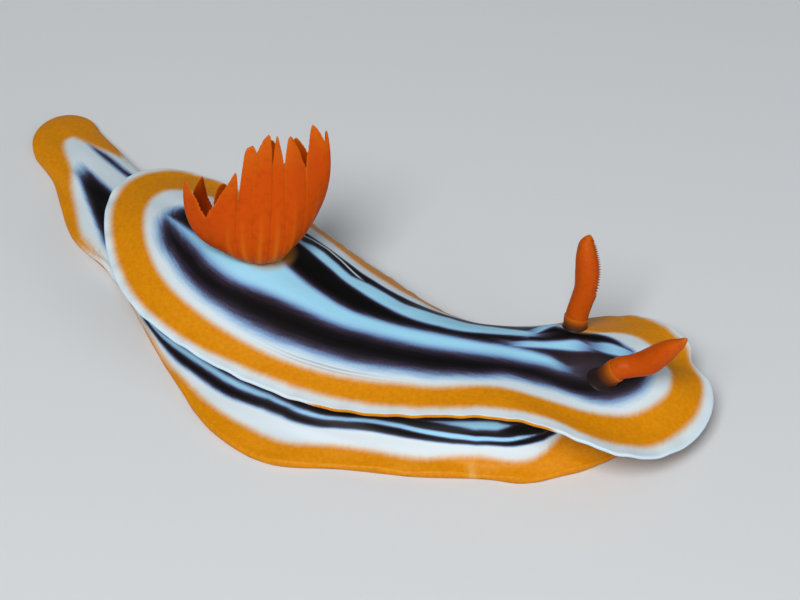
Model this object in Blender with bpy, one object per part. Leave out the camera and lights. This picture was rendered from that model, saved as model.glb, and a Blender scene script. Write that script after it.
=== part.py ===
"""Magnificent chromodoris, a sea slug, at life size in a crawling pose.

The animal lies on its flat sole at z = 0 with its head towards +X and its hind body curving
towards +Y. Every surface is worked out in body coordinates: s runs back along the spine from
the front rim of the mantle, n runs out to the animal's right and z runs up.
"""

import math

import bmesh
import bpy
import numpy as np
from mathutils import Vector

MM = 0.001
GAP = 0.3 * MM  # clearance that neighbouring pieces keep

# Where the spine starts and how the body bends, seen from above.
FRONT_X, FRONT_Y = 33.7 * MM, -18.1 * MM
HEAD_HEADING = math.radians(4.8)
BEND = math.radians(54.1)
BEND_FROM, BEND_TO = 15.4 * MM, 60.6 * MM

# Mantle: the oval cloak that carries the feelers and the gill.
MANTLE_LENGTH = 65.0 * MM
MANTLE_FRONT_ROUND, MANTLE_REAR_ROUND = 10.8 * MM, 17.1 * MM
WIDTH_STATIONS = np.array([0, 10, 22, 36, 50, 60, 68]) * MM
WIDTH_RIGHT = np.array([9.5, 10.5, 8.7, 9.0, 10.1, 9.5, 10.1]) * MM
WIDTH_LEFT = np.array([9.2, 9.1, 7.4, 10.9, 11.7, 9.8, 9.4]) * MM
CREST_FRONT, CREST_REAR = 9.0 * MM, 10.0 * MM  # from the mantle's two ends
CREST_STATIONS = np.array([0, 9, 20, 34, 50, 60, 68]) * MM
CREST_HEIGHTS = np.array([6.5, 6.9, 7.8, 8.0, 9.2, 7.6, 7.5]) * MM
AROUND = np.radians(np.arange(0, 360, 30))  # front, then along the right side, rear, left side
RIM_HEIGHTS = np.array([3.2, 3.6, 8.0, 5.5, 6.6, 7.9, 7.5, 6.2, 4.6, 4.3, 3.3, 5.1]) * MM
FALL_POWER = 1.2  # how soon the back starts to fall away from the crest
# How far the margin hangs down like a curtain: 0 spreads flat, 1 hangs.
DROOP = np.array([0.2, 0.12, 0.04, 0.0, 0.03, 0.07, 0.1, 0.13, 0.77, 0.72, 0.4, 0.2])
DROOP_POWER = 4.0
RIM_THICKNESS, CORE_THICKNESS = 0.8 * MM, 2.4 * MM
RIM_ROUND = 0.4 * MM

# Body under the mantle, and the foot that spreads below it.
WAIST = np.array([0.30, 0.45, 0.60, 0.66, 0.66, 0.60, 0.50, 0.60, 0.66, 0.66, 0.60, 0.45])
FLANK_FOOT_RISE = np.array([0.40, 0.34, 0.24, 0.22, 0.22, 0.36, 0.50, 0.36, 0.22, 0.22, 0.24, 0.34])
FLANK_SPREAD = 0.2  # how far out the flank starts to flare, as a share of its way to the margin
FLANK_LIFT = 0.6 * MM  # lowest height of the point that the flank's curve is drawn towards
FOOT_FRONT = 5.5 * MM
FOOT_FRONT_ROUND = 7.0 * MM
FOOT_SET_BACK = 12.0 * MM  # how far along its front end stays behind the mantle's
TAIL_FROM = 45.0 * MM
TAIL_TIP = 85.9 * MM
TAIL_ROUND = 6.0 * MM
FOOT_STATIONS = np.array([5.5, 9, 13, 17, 20, 25, 31, 35.5, 40, 45, 50, 56, 61, 67, 72, 76, 81, 86]) * MM
FOOT_RIGHT = np.array(
    [6.1, 6.3, 7.8, 9.2, 9.0, 9.6, 10.6, 12.5, 11.9, 9.6, 7.9, 6.6, 6.5, 7.3, 6.3, 5.3, 5.2, 4.9]
) * MM
FOOT_LEFT = np.array(
    [6.3, 6.8, 7.3, 7.6, 7.9, 8.2, 8.5, 8.8, 8.9, 8.6, 7.6, 5.8, 3.6, 2.2, 1.3, 1.5, 2.1, 3.3]
) * MM
MARGIN_THICKNESS = 0.75 * MM
MARGIN_ROUND = 0.3 * MM
SOLE_INSET = 4.0 * MM  # from the foot's two ends to the ends of the line its sole closes on
SNOUT_REACH = 3.1 * MM
SNOUT_WIDTH = math.radians(30)
MOUTH_DEPTH = 0.45 * MM

# Cuts that part the body into its named lengths.
NECK_CUT, FRONT_CUT, REAR_CUT, TAIL_CUT = 8.5 * MM, 20.5 * MM, 41.0 * MM, 61.5 * MM
SOLE_CUT = 1.1 * MM

# Feelers on the head: club-shaped, ringed with ridges, each in its own sheath.
# Place and length in millimetres, the way the tip lies, and how upright the stalk starts.
RIGHT_RHINOPHORE = {"s": 9.9, "n": 2.4, "points": (0.79, -0.17, 0.62), "length": 8.5, "upright": -0.1}
LEFT_RHINOPHORE = {"s": 12.4, "n": -4.2, "points": (0.06, 0.31, 0.95), "length": 9.1, "upright": 0.6}
STALK_RADIUS, CLUB_RADIUS, TIP_RADIUS = 0.85 * MM, 1.2 * MM, 0.35 * MM
CLUB_FROM, CLUB_TO = 0.32, 0.93  # where the ringed club starts and ends, as shares of the length
RIDGES = 12
RIDGE_DEPTH = 0.3 * MM
SHEATH_INNER, SHEATH_WALL = 1.18 * MM, 0.5 * MM
SHEATH_SHARE = 0.12  # how far up the feeler its sheath reaches
SHEATH_LEAST = 0.1 * MM  # how far a sheath stands up where the stalk leans over it

# Mouth feelers, one at each side of the snout.
TENTACLE_LENGTH, TENTACLE_RADIUS = 2.4 * MM, 0.5 * MM
TENTACLE_ROUND = math.radians(20)  # where round the snout each one stands

# Gill plume: a ring of pointed leaves on a short stalk, inside a low collar.
GILL_S, GILL_N = 45.8 * MM, -2.2 * MM
GILL_STALK_RADIUS, GILL_STALK_HEIGHT = 1.5 * MM, 1.7 * MM
GILL_ROOT_RADIUS, GILL_ROOT_HEIGHT = 0.9 * MM, 0.95 * MM
GILL_CLEARANCE = 0.55 * MM  # between the middle of the stalk's flat foot and the curved back
COLLAR_INNER, COLLAR_WALL, COLLAR_HEIGHT = 1.83 * MM, 0.5 * MM, 0.7 * MM
LEAF_THICKNESS, LEAF_EDGE = 0.95 * MM, 0.5 * MM
LEAF_TEETH = 7
TOOTH_DEPTH = 0.28  # share of the leaf's half width
TEETH_FROM, TEETH_TO = 0.18, 0.94  # shares of the leaf's length
LEAF_CUP = 0.35 * MM
LEAF_LEAST_WIDTH = 0.12 * MM
# Each leaf: where it stands round the ring in degrees from +X, where its tip lies from the
# middle of the ring in millimetres, half its greatest width, and how far it goes out and up
# before it turns towards its tip, as shares of its reach.
LEAVES = (
    (20, (5.6, 4.5, 10.3), 1.9, 0.55, 0.28),
    (-10, (4.9, 3.0, 12.3), 2.0, 0.50, 0.28),
    (-50, (2.75, 2.2, 11.8), 2.0, 0.32, 0.22),
    (-90, (1.4, 1.0, 12.8), 2.1, 0.18, 0.22),
    (-130, (-2.15, 0.4, 8.6), 2.1, 0.30, 0.15),
    (175, (-7.2, 0.3, 7.9), 2.1, 0.62, 0.06),
    (145, (-6.0, 2.6, 6.5), 1.9, 0.55, 0.1),
    (110, (-1.85, 4.6, 7.8), 1.7, 0.35, 0.2),
    (80, (1.25, 4.6, 9.9), 1.9, 0.30, 0.25),
    (50, (3.0, 5.4, 9.3), 1.9, 0.45, 0.25),
)

RING = 72  # points round the oval
RING_SPREAD = 0.18  # how far the points are drawn from the two ends towards the sides

COLOURS = {
    "mantle": (0.85, 0.88, 0.92, 1),
    "flank": (0.05, 0.04, 0.07, 1),
    "foot": (0.72, 0.30, 0.01, 1),
    "gill": (0.65, 0.09, 0.002, 1),
    "sheath": (0.75, 0.36, 0.03, 1),
}


def smooth(t):
    t = np.clip(t, 0, 1)
    return t * t * (3 - 2 * t)


def through(stations, values, x):
    """A smooth curve through the given values, read at x."""
    slopes = np.gradient(values, stations)
    x = np.clip(x, stations[0], stations[-1])
    i = np.clip(np.searchsorted(stations, x, side="right") - 1, 0, len(stations) - 2)
    h = stations[i + 1] - stations[i]
    t = (x - stations[i]) / h
    start = (2 * t**3 - 3 * t**2 + 1) * values[i] + (t**3 - 2 * t**2 + t) * h * slopes[i]
    end = (3 * t**2 - 2 * t**3) * values[i + 1] + (t**3 - t**2) * h * slopes[i + 1]
    return start + end


def around(values, phi):
    """The same round the oval, where the end joins the start."""
    turn = 2 * math.pi
    stations = np.concatenate([AROUND[-2:] - turn, AROUND, AROUND[:2] + turn])
    values = np.concatenate([values[-2:], values, values[:2]])
    return through(stations, values, np.mod(phi, turn))


STEP = 0.1 * MM
STEPS = np.arange(-5 * MM, 95 * MM, STEP)
HEADINGS = HEAD_HEADING + BEND * smooth((STEPS - BEND_FROM) / (BEND_TO - BEND_FROM))


def run(slopes):
    """How far the spine has gone in one direction at each step, counted from station 0."""
    total = np.cumsum(slopes) * STEP
    return total - np.interp(0, STEPS, total)


SPINE_X = FRONT_X - run(np.cos(HEADINGS))
SPINE_Y = FRONT_Y + run(np.sin(HEADINGS))


def place(s, n, z):
    """World points for body coordinates."""
    heading = np.interp(s, STEPS, HEADINGS)
    x = np.interp(s, STEPS, SPINE_X) - n * np.sin(heading)
    y = np.interp(s, STEPS, SPINE_Y) - n * np.cos(heading)
    return np.stack([x, y, np.broadcast_to(z, x.shape)], -1)


def rounded(s, start, length):
    """0 at the start, rising as a quarter circle to 1 over the length."""
    return np.sqrt(1 - np.clip(1 - (s - start) / length, 0, 1) ** 2)


def rim(phi):
    """The mantle's edge in plan."""
    s = MANTLE_LENGTH / 2 * (1 - np.cos(phi))
    right = np.sin(phi) >= 0
    width = np.where(
        right, through(WIDTH_STATIONS, WIDTH_RIGHT, s), -through(WIDTH_STATIONS, WIDTH_LEFT, s)
    )
    ends = rounded(s, 0, MANTLE_FRONT_ROUND) * rounded(MANTLE_LENGTH - s, 0, MANTLE_REAR_ROUND)
    return s, width * ends


def crest(phi):
    """The station on the crest that each point of the edge is drawn from."""
    share = (1 - np.cos(phi)) / 2
    return CREST_FRONT + (MANTLE_LENGTH - CREST_FRONT - CREST_REAR) * share


def back(phi, u):
    """The mantle's upper surface, from u = 0 on the crest to u = 1 at the edge."""
    s_rim, n_rim = rim(phi)
    s_crest = crest(phi)
    low = around(RIM_HEIGHTS, phi)
    high = through(CREST_STATIONS, CREST_HEIGHTS, s_crest)
    droop = around(DROOP, phi)
    fall = (1 - droop) * 0.5 * (1 + np.cos(math.pi * u**FALL_POWER)) + droop * (1 - u**DROOP_POWER)
    return s_crest + (s_rim - s_crest) * u, n_rim * u, low + (high - low) * fall


def thickness(u):
    return RIM_THICKNESS + (CORE_THICKNESS - RIM_THICKNESS) * (1 - u * u)


def foot_edge(phi):
    """The foot's margin in plan; its hind part is drawn out into the tail."""
    s = MANTLE_LENGTH / 2 * (1 - np.cos(phi))
    front = FOOT_FRONT * np.clip(1 - s / FOOT_SET_BACK, 0, 1) ** 2
    hind = np.clip((s - TAIL_FROM) / (MANTLE_LENGTH - TAIL_FROM), 0, 1) ** 2
    s = s + front + (TAIL_TIP - MANTLE_LENGTH) * hind
    ends = rounded(s, FOOT_FRONT, FOOT_FRONT_ROUND) * rounded(TAIL_TIP - s, 0, TAIL_ROUND)
    side = np.where(np.sin(phi) >= 0, 1, -1)
    return s, foot_middle(s) + side * foot_half(s) * ends


def foot_middle(s):
    return (through(FOOT_STATIONS, FOOT_RIGHT, s) - through(FOOT_STATIONS, FOOT_LEFT, s)) / 2


def foot_half(s):
    return (through(FOOT_STATIONS, FOOT_RIGHT, s) + through(FOOT_STATIONS, FOOT_LEFT, s)) / 2


def underside(phi, u, lower=0.0):
    s, n, z = back(phi, u)
    return s, n, z - thickness(u) - lower


def flank(phi, t):
    """From t = 0 at the waist, under the mantle, to t = 1 on top of the foot's margin."""
    s_waist, n_waist, z_waist = underside(phi, around(WAIST, phi), GAP)
    s_foot, n_foot = foot_edge(phi)
    ahead = np.minimum(phi, 2 * math.pi - phi) / SNOUT_WIDTH
    s_mid = s_waist + FLANK_SPREAD * (s_foot - s_waist) - SNOUT_REACH * np.exp(-(ahead**2))
    n_mid = n_waist + FLANK_SPREAD * (n_foot - n_waist)
    z_mid = around(FLANK_FOOT_RISE, phi) * z_waist + FLANK_LIFT
    a, b, c = (1 - t) ** 2, 2 * t * (1 - t), t * t
    s = a * s_waist + b * s_mid + c * s_foot
    n = a * n_waist + b * n_mid + c * n_foot
    return s, n, a * z_waist + b * z_mid + c * MARGIN_THICKNESS


def back_height(s, n):
    """Height of the mantle's upper surface over a point of the plan."""
    low, high = (0.0, math.pi) if n > 0 else (2 * math.pi, math.pi)
    for _ in range(40):
        phi = np.array((low + high) / 2)
        s_rim, n_rim = rim(phi)
        ahead = (s - crest(phi)) * n_rim - n * (s_rim - crest(phi))
        if ahead * n > 0:
            low = float(phi)
        else:
            high = float(phi)
    return float(back(phi, n / n_rim)[2])


def finish(bm, name, colour):
    """Turn a bmesh into a named object with its own material."""
    bmesh.ops.recalc_face_normals(bm, faces=bm.faces)
    bmesh.ops.triangulate(bm, faces=[f for f in bm.faces if len(f.verts) > 3])
    mesh = bpy.data.meshes.new(name)
    bm.to_mesh(mesh)
    bm.free()
    mesh.shade_smooth()
    mesh.set_sharp_from_angle(angle=math.radians(40))
    material = bpy.data.materials.new(name)
    material.use_nodes = True
    shader = material.node_tree.nodes["Principled BSDF"]
    shader.inputs["Base Color"].default_value = COLOURS[colour]
    shader.inputs["Roughness"].default_value = 0.35
    shader.inputs["Metallic"].default_value = 0.0
    mesh.materials.append(material)
    piece = bpy.data.objects.new(name, mesh)
    bpy.context.scene.collection.objects.link(piece)
    return piece


def loft(rings, capped=False):
    """A skin over rings of points. Where a ring folds flat its two halves are sewn together."""
    bm = bmesh.new()
    loops = [[bm.verts.new(point) for point in ring] for ring in rings]
    for near, far in zip(loops, loops[1:]):
        for i in range(len(near)):
            j = (i + 1) % len(near)
            bm.faces.new((near[i], near[j], far[j], far[i]))
    if capped:
        bm.faces.new(reversed(loops[0]))
        bm.faces.new(loops[-1])
    else:
        bmesh.ops.remove_doubles(bm, verts=bm.verts, dist=1e-7)
    bmesh.ops.recalc_face_normals(bm, faces=bm.faces)
    return bm


def keep(bm, point, normal):
    """Cut the closed shape by a plane, keep the side that the normal points to, and close it."""
    shape = bm.verts[:] + bm.edges[:] + bm.faces[:]
    bmesh.ops.bisect_plane(
        bm, geom=shape, dist=1e-7, plane_co=point, plane_no=normal, clear_inner=True
    )
    rims = [edge for edge in bm.edges if edge.is_boundary]
    made = bmesh.ops.holes_fill(bm, edges=rims, sides=0)["faces"]
    bmesh.ops.triangulate(bm, faces=made, ngon_method="EAR_CLIP")


def length_of(source, start, end, low=None, high=None):
    """The stretch of a shape between two stations of the spine, and between two heights."""
    bm = source.copy()
    for station, way in ((start, 1), (end, -1)):
        if station is None:
            continue
        at = station + way * GAP / 2
        heading = float(np.interp(at, STEPS, HEADINGS))
        rearward = Vector((-math.cos(heading), math.sin(heading), 0))
        keep(bm, Vector(place(np.array(at), 0.0, 0.0)), rearward * way)
    if low is not None:
        keep(bm, Vector((0, 0, low + GAP / 2)), Vector((0, 0, 1)))
    if high is not None:
        keep(bm, Vector((0, 0, high - GAP / 2)), Vector((0, 0, -1)))
    return bm


def ring_angles():
    phi = np.linspace(0, 2 * math.pi, RING, endpoint=False)
    return phi + RING_SPREAD * np.sin(2 * phi)


def mantle_shape():
    phi = ring_angles()
    s_rim, n_rim = rim(phi)
    inset = 1 - RIM_ROUND / np.hypot(s_rim - crest(phi), n_rim)
    shares = (0, 0.12, 0.26, 0.4, 0.54, 0.67, 0.79, 0.9, 1.0)
    rings = [place(*back(phi, share * inset)) for share in shares]
    s, n, z = back(phi, np.ones_like(phi))
    rings.append(place(s, n, z - RIM_THICKNESS / 4))
    rings += [place(*underside(phi, share * inset)) for share in reversed(shares)]
    return loft(rings)


def body_shape():
    phi = ring_angles()
    waist = around(WAIST, phi)
    rings = [place(*underside(phi, share * waist, GAP)) for share in (0, 0.25, 0.5, 0.75)]
    for t in (0, 0.1, 0.2, 0.3, 0.4, 0.5, 0.6, 0.7, 0.8, 0.9, 1.0):
        s, n, z = flank(phi, t)
        if 0.3 < t < 0.7:
            s = s + MOUTH_DEPTH * (np.abs(np.sin(phi / 2)) < 1e-6)
        rings.append(place(s, n, z))
    s_foot, n_foot = foot_edge(phi)
    drawn_in = 1 - 2 * SOLE_INSET / (TAIL_TIP - FOOT_FRONT)
    middle = FOOT_FRONT + SOLE_INSET + (s_foot - FOOT_FRONT) * drawn_in
    n_middle = foot_middle(middle)
    reach = np.hypot(s_foot - middle, n_foot - n_middle)
    out = MARGIN_ROUND / reach
    for share, z in ((1 + out, MARGIN_THICKNESS / 2), (1, 0), (0.66, 0), (0.33, 0), (0, 0)):
        s = middle + (s_foot - middle) * share
        n = n_middle + (n_foot - n_middle) * share
        rings.append(place(s, n, z * np.ones_like(phi)))
    return loft(rings)


def make_body():
    mantle = mantle_shape()
    finish(length_of(mantle, None, FRONT_CUT), "mantle_front", "mantle")
    finish(length_of(mantle, FRONT_CUT, REAR_CUT), "mantle_middle", "mantle")
    finish(length_of(mantle, REAR_CUT, None), "mantle_rear", "mantle")
    mantle.free()
    body = body_shape()
    finish(length_of(body, None, NECK_CUT, low=SOLE_CUT), "head", "flank")
    finish(length_of(body, NECK_CUT, FRONT_CUT, low=SOLE_CUT), "torso_front", "flank")
    finish(length_of(body, FRONT_CUT, REAR_CUT, low=SOLE_CUT), "torso_middle", "flank")
    finish(length_of(body, REAR_CUT, TAIL_CUT, low=SOLE_CUT), "torso_rear", "flank")
    finish(length_of(body, None, FRONT_CUT, high=SOLE_CUT), "foot_front", "foot")
    finish(length_of(body, FRONT_CUT, REAR_CUT, high=SOLE_CUT), "foot_middle", "foot")
    finish(length_of(body, REAR_CUT, TAIL_CUT, high=SOLE_CUT), "foot_rear", "foot")
    finish(length_of(body, TAIL_CUT, None), "tail", "foot")
    body.free()


def on_back(s, n, lift=0.0):
    """The world point on the mantle at this place of the plan."""
    return Vector(place(np.array(s), n, back_height(s, n) + lift))


def over_back(spot):
    """The lowest height that a piece standing on the mantle may have at this place."""
    steps = np.hypot(SPINE_X - spot.x, SPINE_Y - spot.y)
    s = STEPS[np.argmin(steps)]
    heading = float(np.interp(s, STEPS, HEADINGS))
    middle = place(np.array(s), 0.0, 0.0)
    n = -(spot.x - middle[0]) * math.sin(heading) - (spot.y - middle[1]) * math.cos(heading)
    return back_height(s, n) + GAP


def across(axis):
    """Two directions square to an axis and to each other."""
    side = axis.cross(Vector((0, 1, 0))).normalized()
    return side, axis.cross(side).normalized()


def bent(root, first, tip, t):
    """A point on the curve that leaves the root towards first and ends at the tip, and its way."""
    point = root * (1 - t) ** 2 + first * 2 * t * (1 - t) + tip * t * t
    way = (first - root) * (1 - t) + (tip - first) * t
    return point, way.normalized()


def tube(points, ways, radii, sides):
    """A closed round body along a line of points."""
    turns = [2 * math.pi * k / sides for k in range(sides)]
    rings = []
    for point, way, radius in zip(points, ways, radii):
        e1, e2 = across(way)
        rings.append([point + (e1 * math.cos(a) + e2 * math.sin(a)) * radius for a in turns])
    return loft(rings, capped=True)


def rhinophore_line(spec, t):
    """A point on the middle line of a feeler, and the way it runs there."""
    root = on_back(spec["s"] * MM, spec["n"] * MM, GAP)
    way = Vector(spec["points"]).normalized()
    length = spec["length"] * MM
    start = (Vector((0, 0, spec["upright"])) + way * 0.7).normalized()
    point, here = bent(root, root + start * length * 0.35, root + way * length, t)
    lift = STALK_RADIUS * math.sqrt(1 - start.z**2)  # keeps a slanted base clear of the back
    return point + Vector((0, 0, lift)) * (1 - t), here


def make_rhinophore(name, spec):
    """A club on a stalk, with a ridge for every leaflet, bending from upright to its own lean."""
    profile = [(0.0, STALK_RADIUS), (0.14, STALK_RADIUS), (0.27, STALK_RADIUS * 1.1)]
    for k in range(RIDGES):
        for part, cut in ((0.25, 1.0), (0.75, 0.0)):
            share = (k + part) / RIDGES
            swell = math.sin(math.pi * (0.30 + 0.62 * share)) ** 0.7
            radius = TIP_RADIUS + (CLUB_RADIUS - TIP_RADIUS) * swell - RIDGE_DEPTH * cut
            profile.append((CLUB_FROM + (CLUB_TO - CLUB_FROM) * share, radius))
    profile += [(0.965, TIP_RADIUS), (1.0, TIP_RADIUS * 0.5)]
    line = [rhinophore_line(spec, t) for t, _ in profile]
    shape = tube([p for p, _ in line], [w for _, w in line], [r for _, r in profile], 12)
    finish(shape, name, "gill")


def make_sheath(name, base, lip, inner, wall):
    """A low collar of skin round a stalk: base and lip are each a point of the stalk and its way."""
    sides = 24
    # Each ring: at the base or at the lip, its radius, and how high it must stand off the back.
    profile = (
        (base, inner, 0),
        (base, inner, 1),
        (lip, inner, 3),
        (lip, inner + wall * 0.6, 3),
        (lip, inner + wall, 1.5),
        (base, inner + wall, 0.7),
        (base, inner + wall * 1.2, 0),
    )
    rings = []
    for (point, way), radius, off in profile:
        e1, e2 = across(way)
        ring = []
        for k in range(sides):
            a = 2 * math.pi * k / sides
            spot = point + (e1 * math.cos(a) + e2 * math.sin(a)) * radius
            floor = over_back(spot) + SHEATH_LEAST * off
            ring.append(Vector((spot.x, spot.y, floor if off == 0 else max(spot.z, floor))))
        rings.append(ring)
    rings.append(rings[0])
    finish(loft(rings), name, "sheath")


def make_tentacle(name, side):
    """A short finger that stands off the side of the snout."""
    phi = side * TENTACLE_ROUND % (2 * math.pi)
    step = 0.02
    at = np.array([phi, phi + step, phi])
    along = np.array([0.5, 0.5, 0.5 + step])
    here, beside, below = (Vector(point) for point in place(*flank(at, along)))
    out = (beside - here).cross(below - here).normalized()
    if out.x < 0:
        out = -out
    axis = (out + Vector((0.3, 0, -0.5))).normalized()
    root = here + out * GAP * 1.3
    profile = ((0, 1.0), (0.35, 0.9), (0.7, 0.75), (0.9, 0.55), (1.0, 0.25))
    points = [root + axis * TENTACLE_LENGTH * t for t, _ in profile]
    radii = [TENTACLE_RADIUS * share for _, share in profile]
    finish(tube(points, [axis] * len(points), radii, 10), name, "gill")


def leaf_shape(root, first, tip, outward, half_width):
    """A pointed leaf with a thick midrib and saw-like edges, its two faces split alike."""
    bm = bmesh.new()
    stations = [(0.0, 0.0), (0.12, 0.0)]
    pitch = (TEETH_TO - TEETH_FROM) / LEAF_TEETH
    for k in range(LEAF_TEETH):
        share = TEETH_FROM + pitch * k
        stations += [(share, 0.0), (share + 0.75 * pitch, 1.0)]
    stations.append((1.0, 0.0))
    rows = []
    for t, tooth in stations:
        point, way = bent(root, first, tip, t)
        across_leaf = way.cross(outward).normalized()
        facing = across_leaf.cross(way).normalized()
        bulge = 0.5 + 0.5 * math.sin(math.pi * min(1, t / 0.62) / 2)
        taper = math.sqrt(max(0.0, 1 - max(0, (t - 0.55) / 0.45) ** 1.6))
        width = max(half_width * bulge * taper * (0.8 + TOOTH_DEPTH * tooth), LEAF_LEAST_WIDTH)
        thin = max(1 - 0.55 * t, 0.4) * (0.35 if t == 1 else 1)
        rib, edge = LEAF_THICKNESS / 2 * thin, LEAF_EDGE / 2 * thin
        cup = facing * -LEAF_CUP * (width / half_width)
        left, right = point - across_leaf * width + cup, point + across_leaf * width + cup
        row = (
            left - facing * edge, left + facing * edge, point + facing * rib,
            right + facing * edge, right - facing * edge, point - facing * rib,
        )
        rows.append([bm.verts.new(p) for p in row])
    for low, high in zip(rows, rows[1:]):
        for i in range(6):
            j = (i + 1) % 6
            # The corner nearer the edge of the leaf is where each quad's cut starts.
            if i in (0, 1, 4):
                bm.faces.new((low[i], low[j], high[j]))
                bm.faces.new((low[i], high[j], high[i]))
            else:
                bm.faces.new((low[i], low[j], high[i]))
                bm.faces.new((low[j], high[j], high[i]))
    for row in (rows[0][::-1], rows[-1]):
        bm.faces.new((row[0], row[1], row[5]))
        bm.faces.new((row[1], row[2], row[5]))
        bm.faces.new((row[2], row[3], row[5]))
        bm.faces.new((row[3], row[4], row[5]))
    bmesh.ops.recalc_face_normals(bm, faces=bm.faces)
    return bm


def fuse(piece, parts):
    """One Boolean union of a piece with the loose parts rooted in it."""
    group = bpy.data.collections.new(piece.name + "_parts")
    bpy.context.scene.collection.children.link(group)
    for index, bm in enumerate(parts):
        mesh = bpy.data.meshes.new("part")
        bm.to_mesh(mesh)
        bm.free()
        group.objects.link(bpy.data.objects.new(f"{piece.name}_part_{index}", mesh))
    join = piece.modifiers.new("join", "BOOLEAN")
    join.operation = "UNION"
    join.operand_type = "COLLECTION"
    join.collection = group
    join.solver = "EXACT"
    bpy.context.view_layer.update()
    evaluated = piece.evaluated_get(bpy.context.evaluated_depsgraph_get())
    whole = bmesh.new()
    whole.from_mesh(evaluated.to_mesh())
    evaluated.to_mesh_clear()
    piece.modifiers.remove(join)
    for part in list(group.objects):
        bpy.data.objects.remove(part)
    bpy.data.collections.remove(group)
    keep_largest(whole)
    bmesh.ops.triangulate(whole, faces=[f for f in whole.faces if len(f.verts) > 3])
    whole.to_mesh(piece.data)
    whole.free()


def keep_largest(bm):
    """Drop every loose scrap, so that one closed surface is left."""
    left = set(bm.faces)
    islands = []
    while left:
        island = [left.pop()]
        for face in island:
            for edge in face.edges:
                for other in edge.link_faces:
                    if other in left:
                        left.remove(other)
                        island.append(other)
        islands.append(island)
    islands.sort(key=len)
    for island in islands[:-1]:
        bmesh.ops.delete(bm, geom=island, context="FACES")
    loose = [vert for vert in bm.verts if not vert.link_faces]
    bmesh.ops.delete(bm, geom=loose, context="VERTS")


def make_gill():
    """A short stalk with a ring of leaves rooted in it."""
    middle = on_back(GILL_S, GILL_N, GILL_CLEARANCE)
    profile = ((0, 1.0), (0.55, 1.0), (0.85, 0.92), (1.0, 0.75))
    points = [middle + Vector((0, 0, GILL_STALK_HEIGHT * height)) for height, _ in profile]
    radii = [GILL_STALK_RADIUS * share for _, share in profile]
    stalk = finish(tube(points, [Vector((0, 0, 1))] * len(points), radii, 20), "gill_plume", "gill")
    leaves = []
    for degrees, reach, half_width, out, rise in LEAVES:
        a = math.radians(degrees)
        outward = Vector((math.cos(a), math.sin(a), 0))
        root = middle + outward * GILL_ROOT_RADIUS + Vector((0, 0, GILL_ROOT_HEIGHT))
        tip = middle + Vector(reach) * MM
        first = root + (outward * out + Vector((0, 0, rise))) * (tip - root).length
        leaves.append(leaf_shape(root, first, tip, outward, half_width * MM))
    fuse(stalk, leaves)


def main():
    for piece in list(bpy.data.objects):
        bpy.data.objects.remove(piece)
    make_body()
    for side, spec in (("right", RIGHT_RHINOPHORE), ("left", LEFT_RHINOPHORE)):
        make_rhinophore("rhinophore_" + side, spec)
        base, lip = rhinophore_line(spec, 0), rhinophore_line(spec, SHEATH_SHARE)
        make_sheath("rhinophore_sheath_" + side, base, lip, SHEATH_INNER, SHEATH_WALL)
    make_tentacle("oral_tentacle_right", 1)
    make_tentacle("oral_tentacle_left", -1)
    up = Vector((0, 0, 1))
    base = on_back(GILL_S, GILL_N, GAP)
    make_sheath("gill_sheath", (base, up), (base + up * COLLAR_HEIGHT, up), COLLAR_INNER, COLLAR_WALL)
    make_gill()


main()
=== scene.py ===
"""Magnificent chromodoris, a crawling sea slug, as a life-size museum model on a pale floor.

Every surface is worked out in body coordinates, in metres: s runs back along the spine from the
front rim of the mantle, n runs out to the animal's right and z runs up from the floor.
"""
import math

import bmesh
import bpy
import numpy as np
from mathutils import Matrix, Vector, noise


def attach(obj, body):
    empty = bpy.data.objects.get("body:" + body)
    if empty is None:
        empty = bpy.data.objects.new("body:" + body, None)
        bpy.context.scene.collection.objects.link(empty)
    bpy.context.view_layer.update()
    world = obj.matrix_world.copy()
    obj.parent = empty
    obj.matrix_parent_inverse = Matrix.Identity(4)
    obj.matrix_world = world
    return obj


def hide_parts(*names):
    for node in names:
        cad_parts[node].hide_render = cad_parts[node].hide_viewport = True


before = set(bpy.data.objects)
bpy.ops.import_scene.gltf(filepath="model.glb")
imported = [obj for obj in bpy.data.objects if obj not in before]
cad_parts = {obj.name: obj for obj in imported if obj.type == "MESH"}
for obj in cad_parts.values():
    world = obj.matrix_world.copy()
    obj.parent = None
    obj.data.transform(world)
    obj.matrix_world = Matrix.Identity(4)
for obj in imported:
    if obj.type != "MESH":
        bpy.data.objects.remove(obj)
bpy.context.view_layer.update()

# The body: one moist skin over mantle, flanks, foot and tail.
# In life it is soft muscle under a thin clear film of mucus. Cast in tinted silicone, it is one
# piece: the back rolls over the thin rim, runs in to the waist, down the flank and out to the hem.
MM = 0.001
FRONT_X, FRONT_Y = 33.7 * MM, -18.1 * MM
HEAD_HEADING, BEND = math.radians(4.8), math.radians(54.1)
BEND_FROM, BEND_TO = 15.4 * MM, 60.6 * MM
MANTLE_LENGTH = 65.0 * MM
MANTLE_FRONT_ROUND, MANTLE_REAR_ROUND = 10.8 * MM, 17.1 * MM
WIDTH_STATIONS = np.array([0, 10, 22, 36, 50, 60, 68]) * MM
WIDTH_RIGHT = np.array([9.5, 10.5, 8.7, 9.0, 10.1, 9.5, 10.1]) * MM
WIDTH_LEFT = np.array([9.2, 9.1, 7.4, 10.9, 11.7, 9.8, 9.4]) * MM
CREST_FRONT, CREST_REAR = 9.0 * MM, 10.0 * MM
CREST_STATIONS = np.array([0, 9, 20, 34, 50, 60, 68]) * MM
CREST_HEIGHTS = np.array([6.5, 6.9, 7.8, 8.0, 9.2, 7.6, 7.5]) * MM
AROUND = np.radians(np.arange(0, 360, 30))  # front, then along the right side, rear, left side
RIM_HEIGHTS = np.array([3.2, 3.6, 8.0, 5.5, 6.6, 7.9, 7.5, 6.2, 4.6, 4.3, 3.3, 5.1]) * MM
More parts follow.
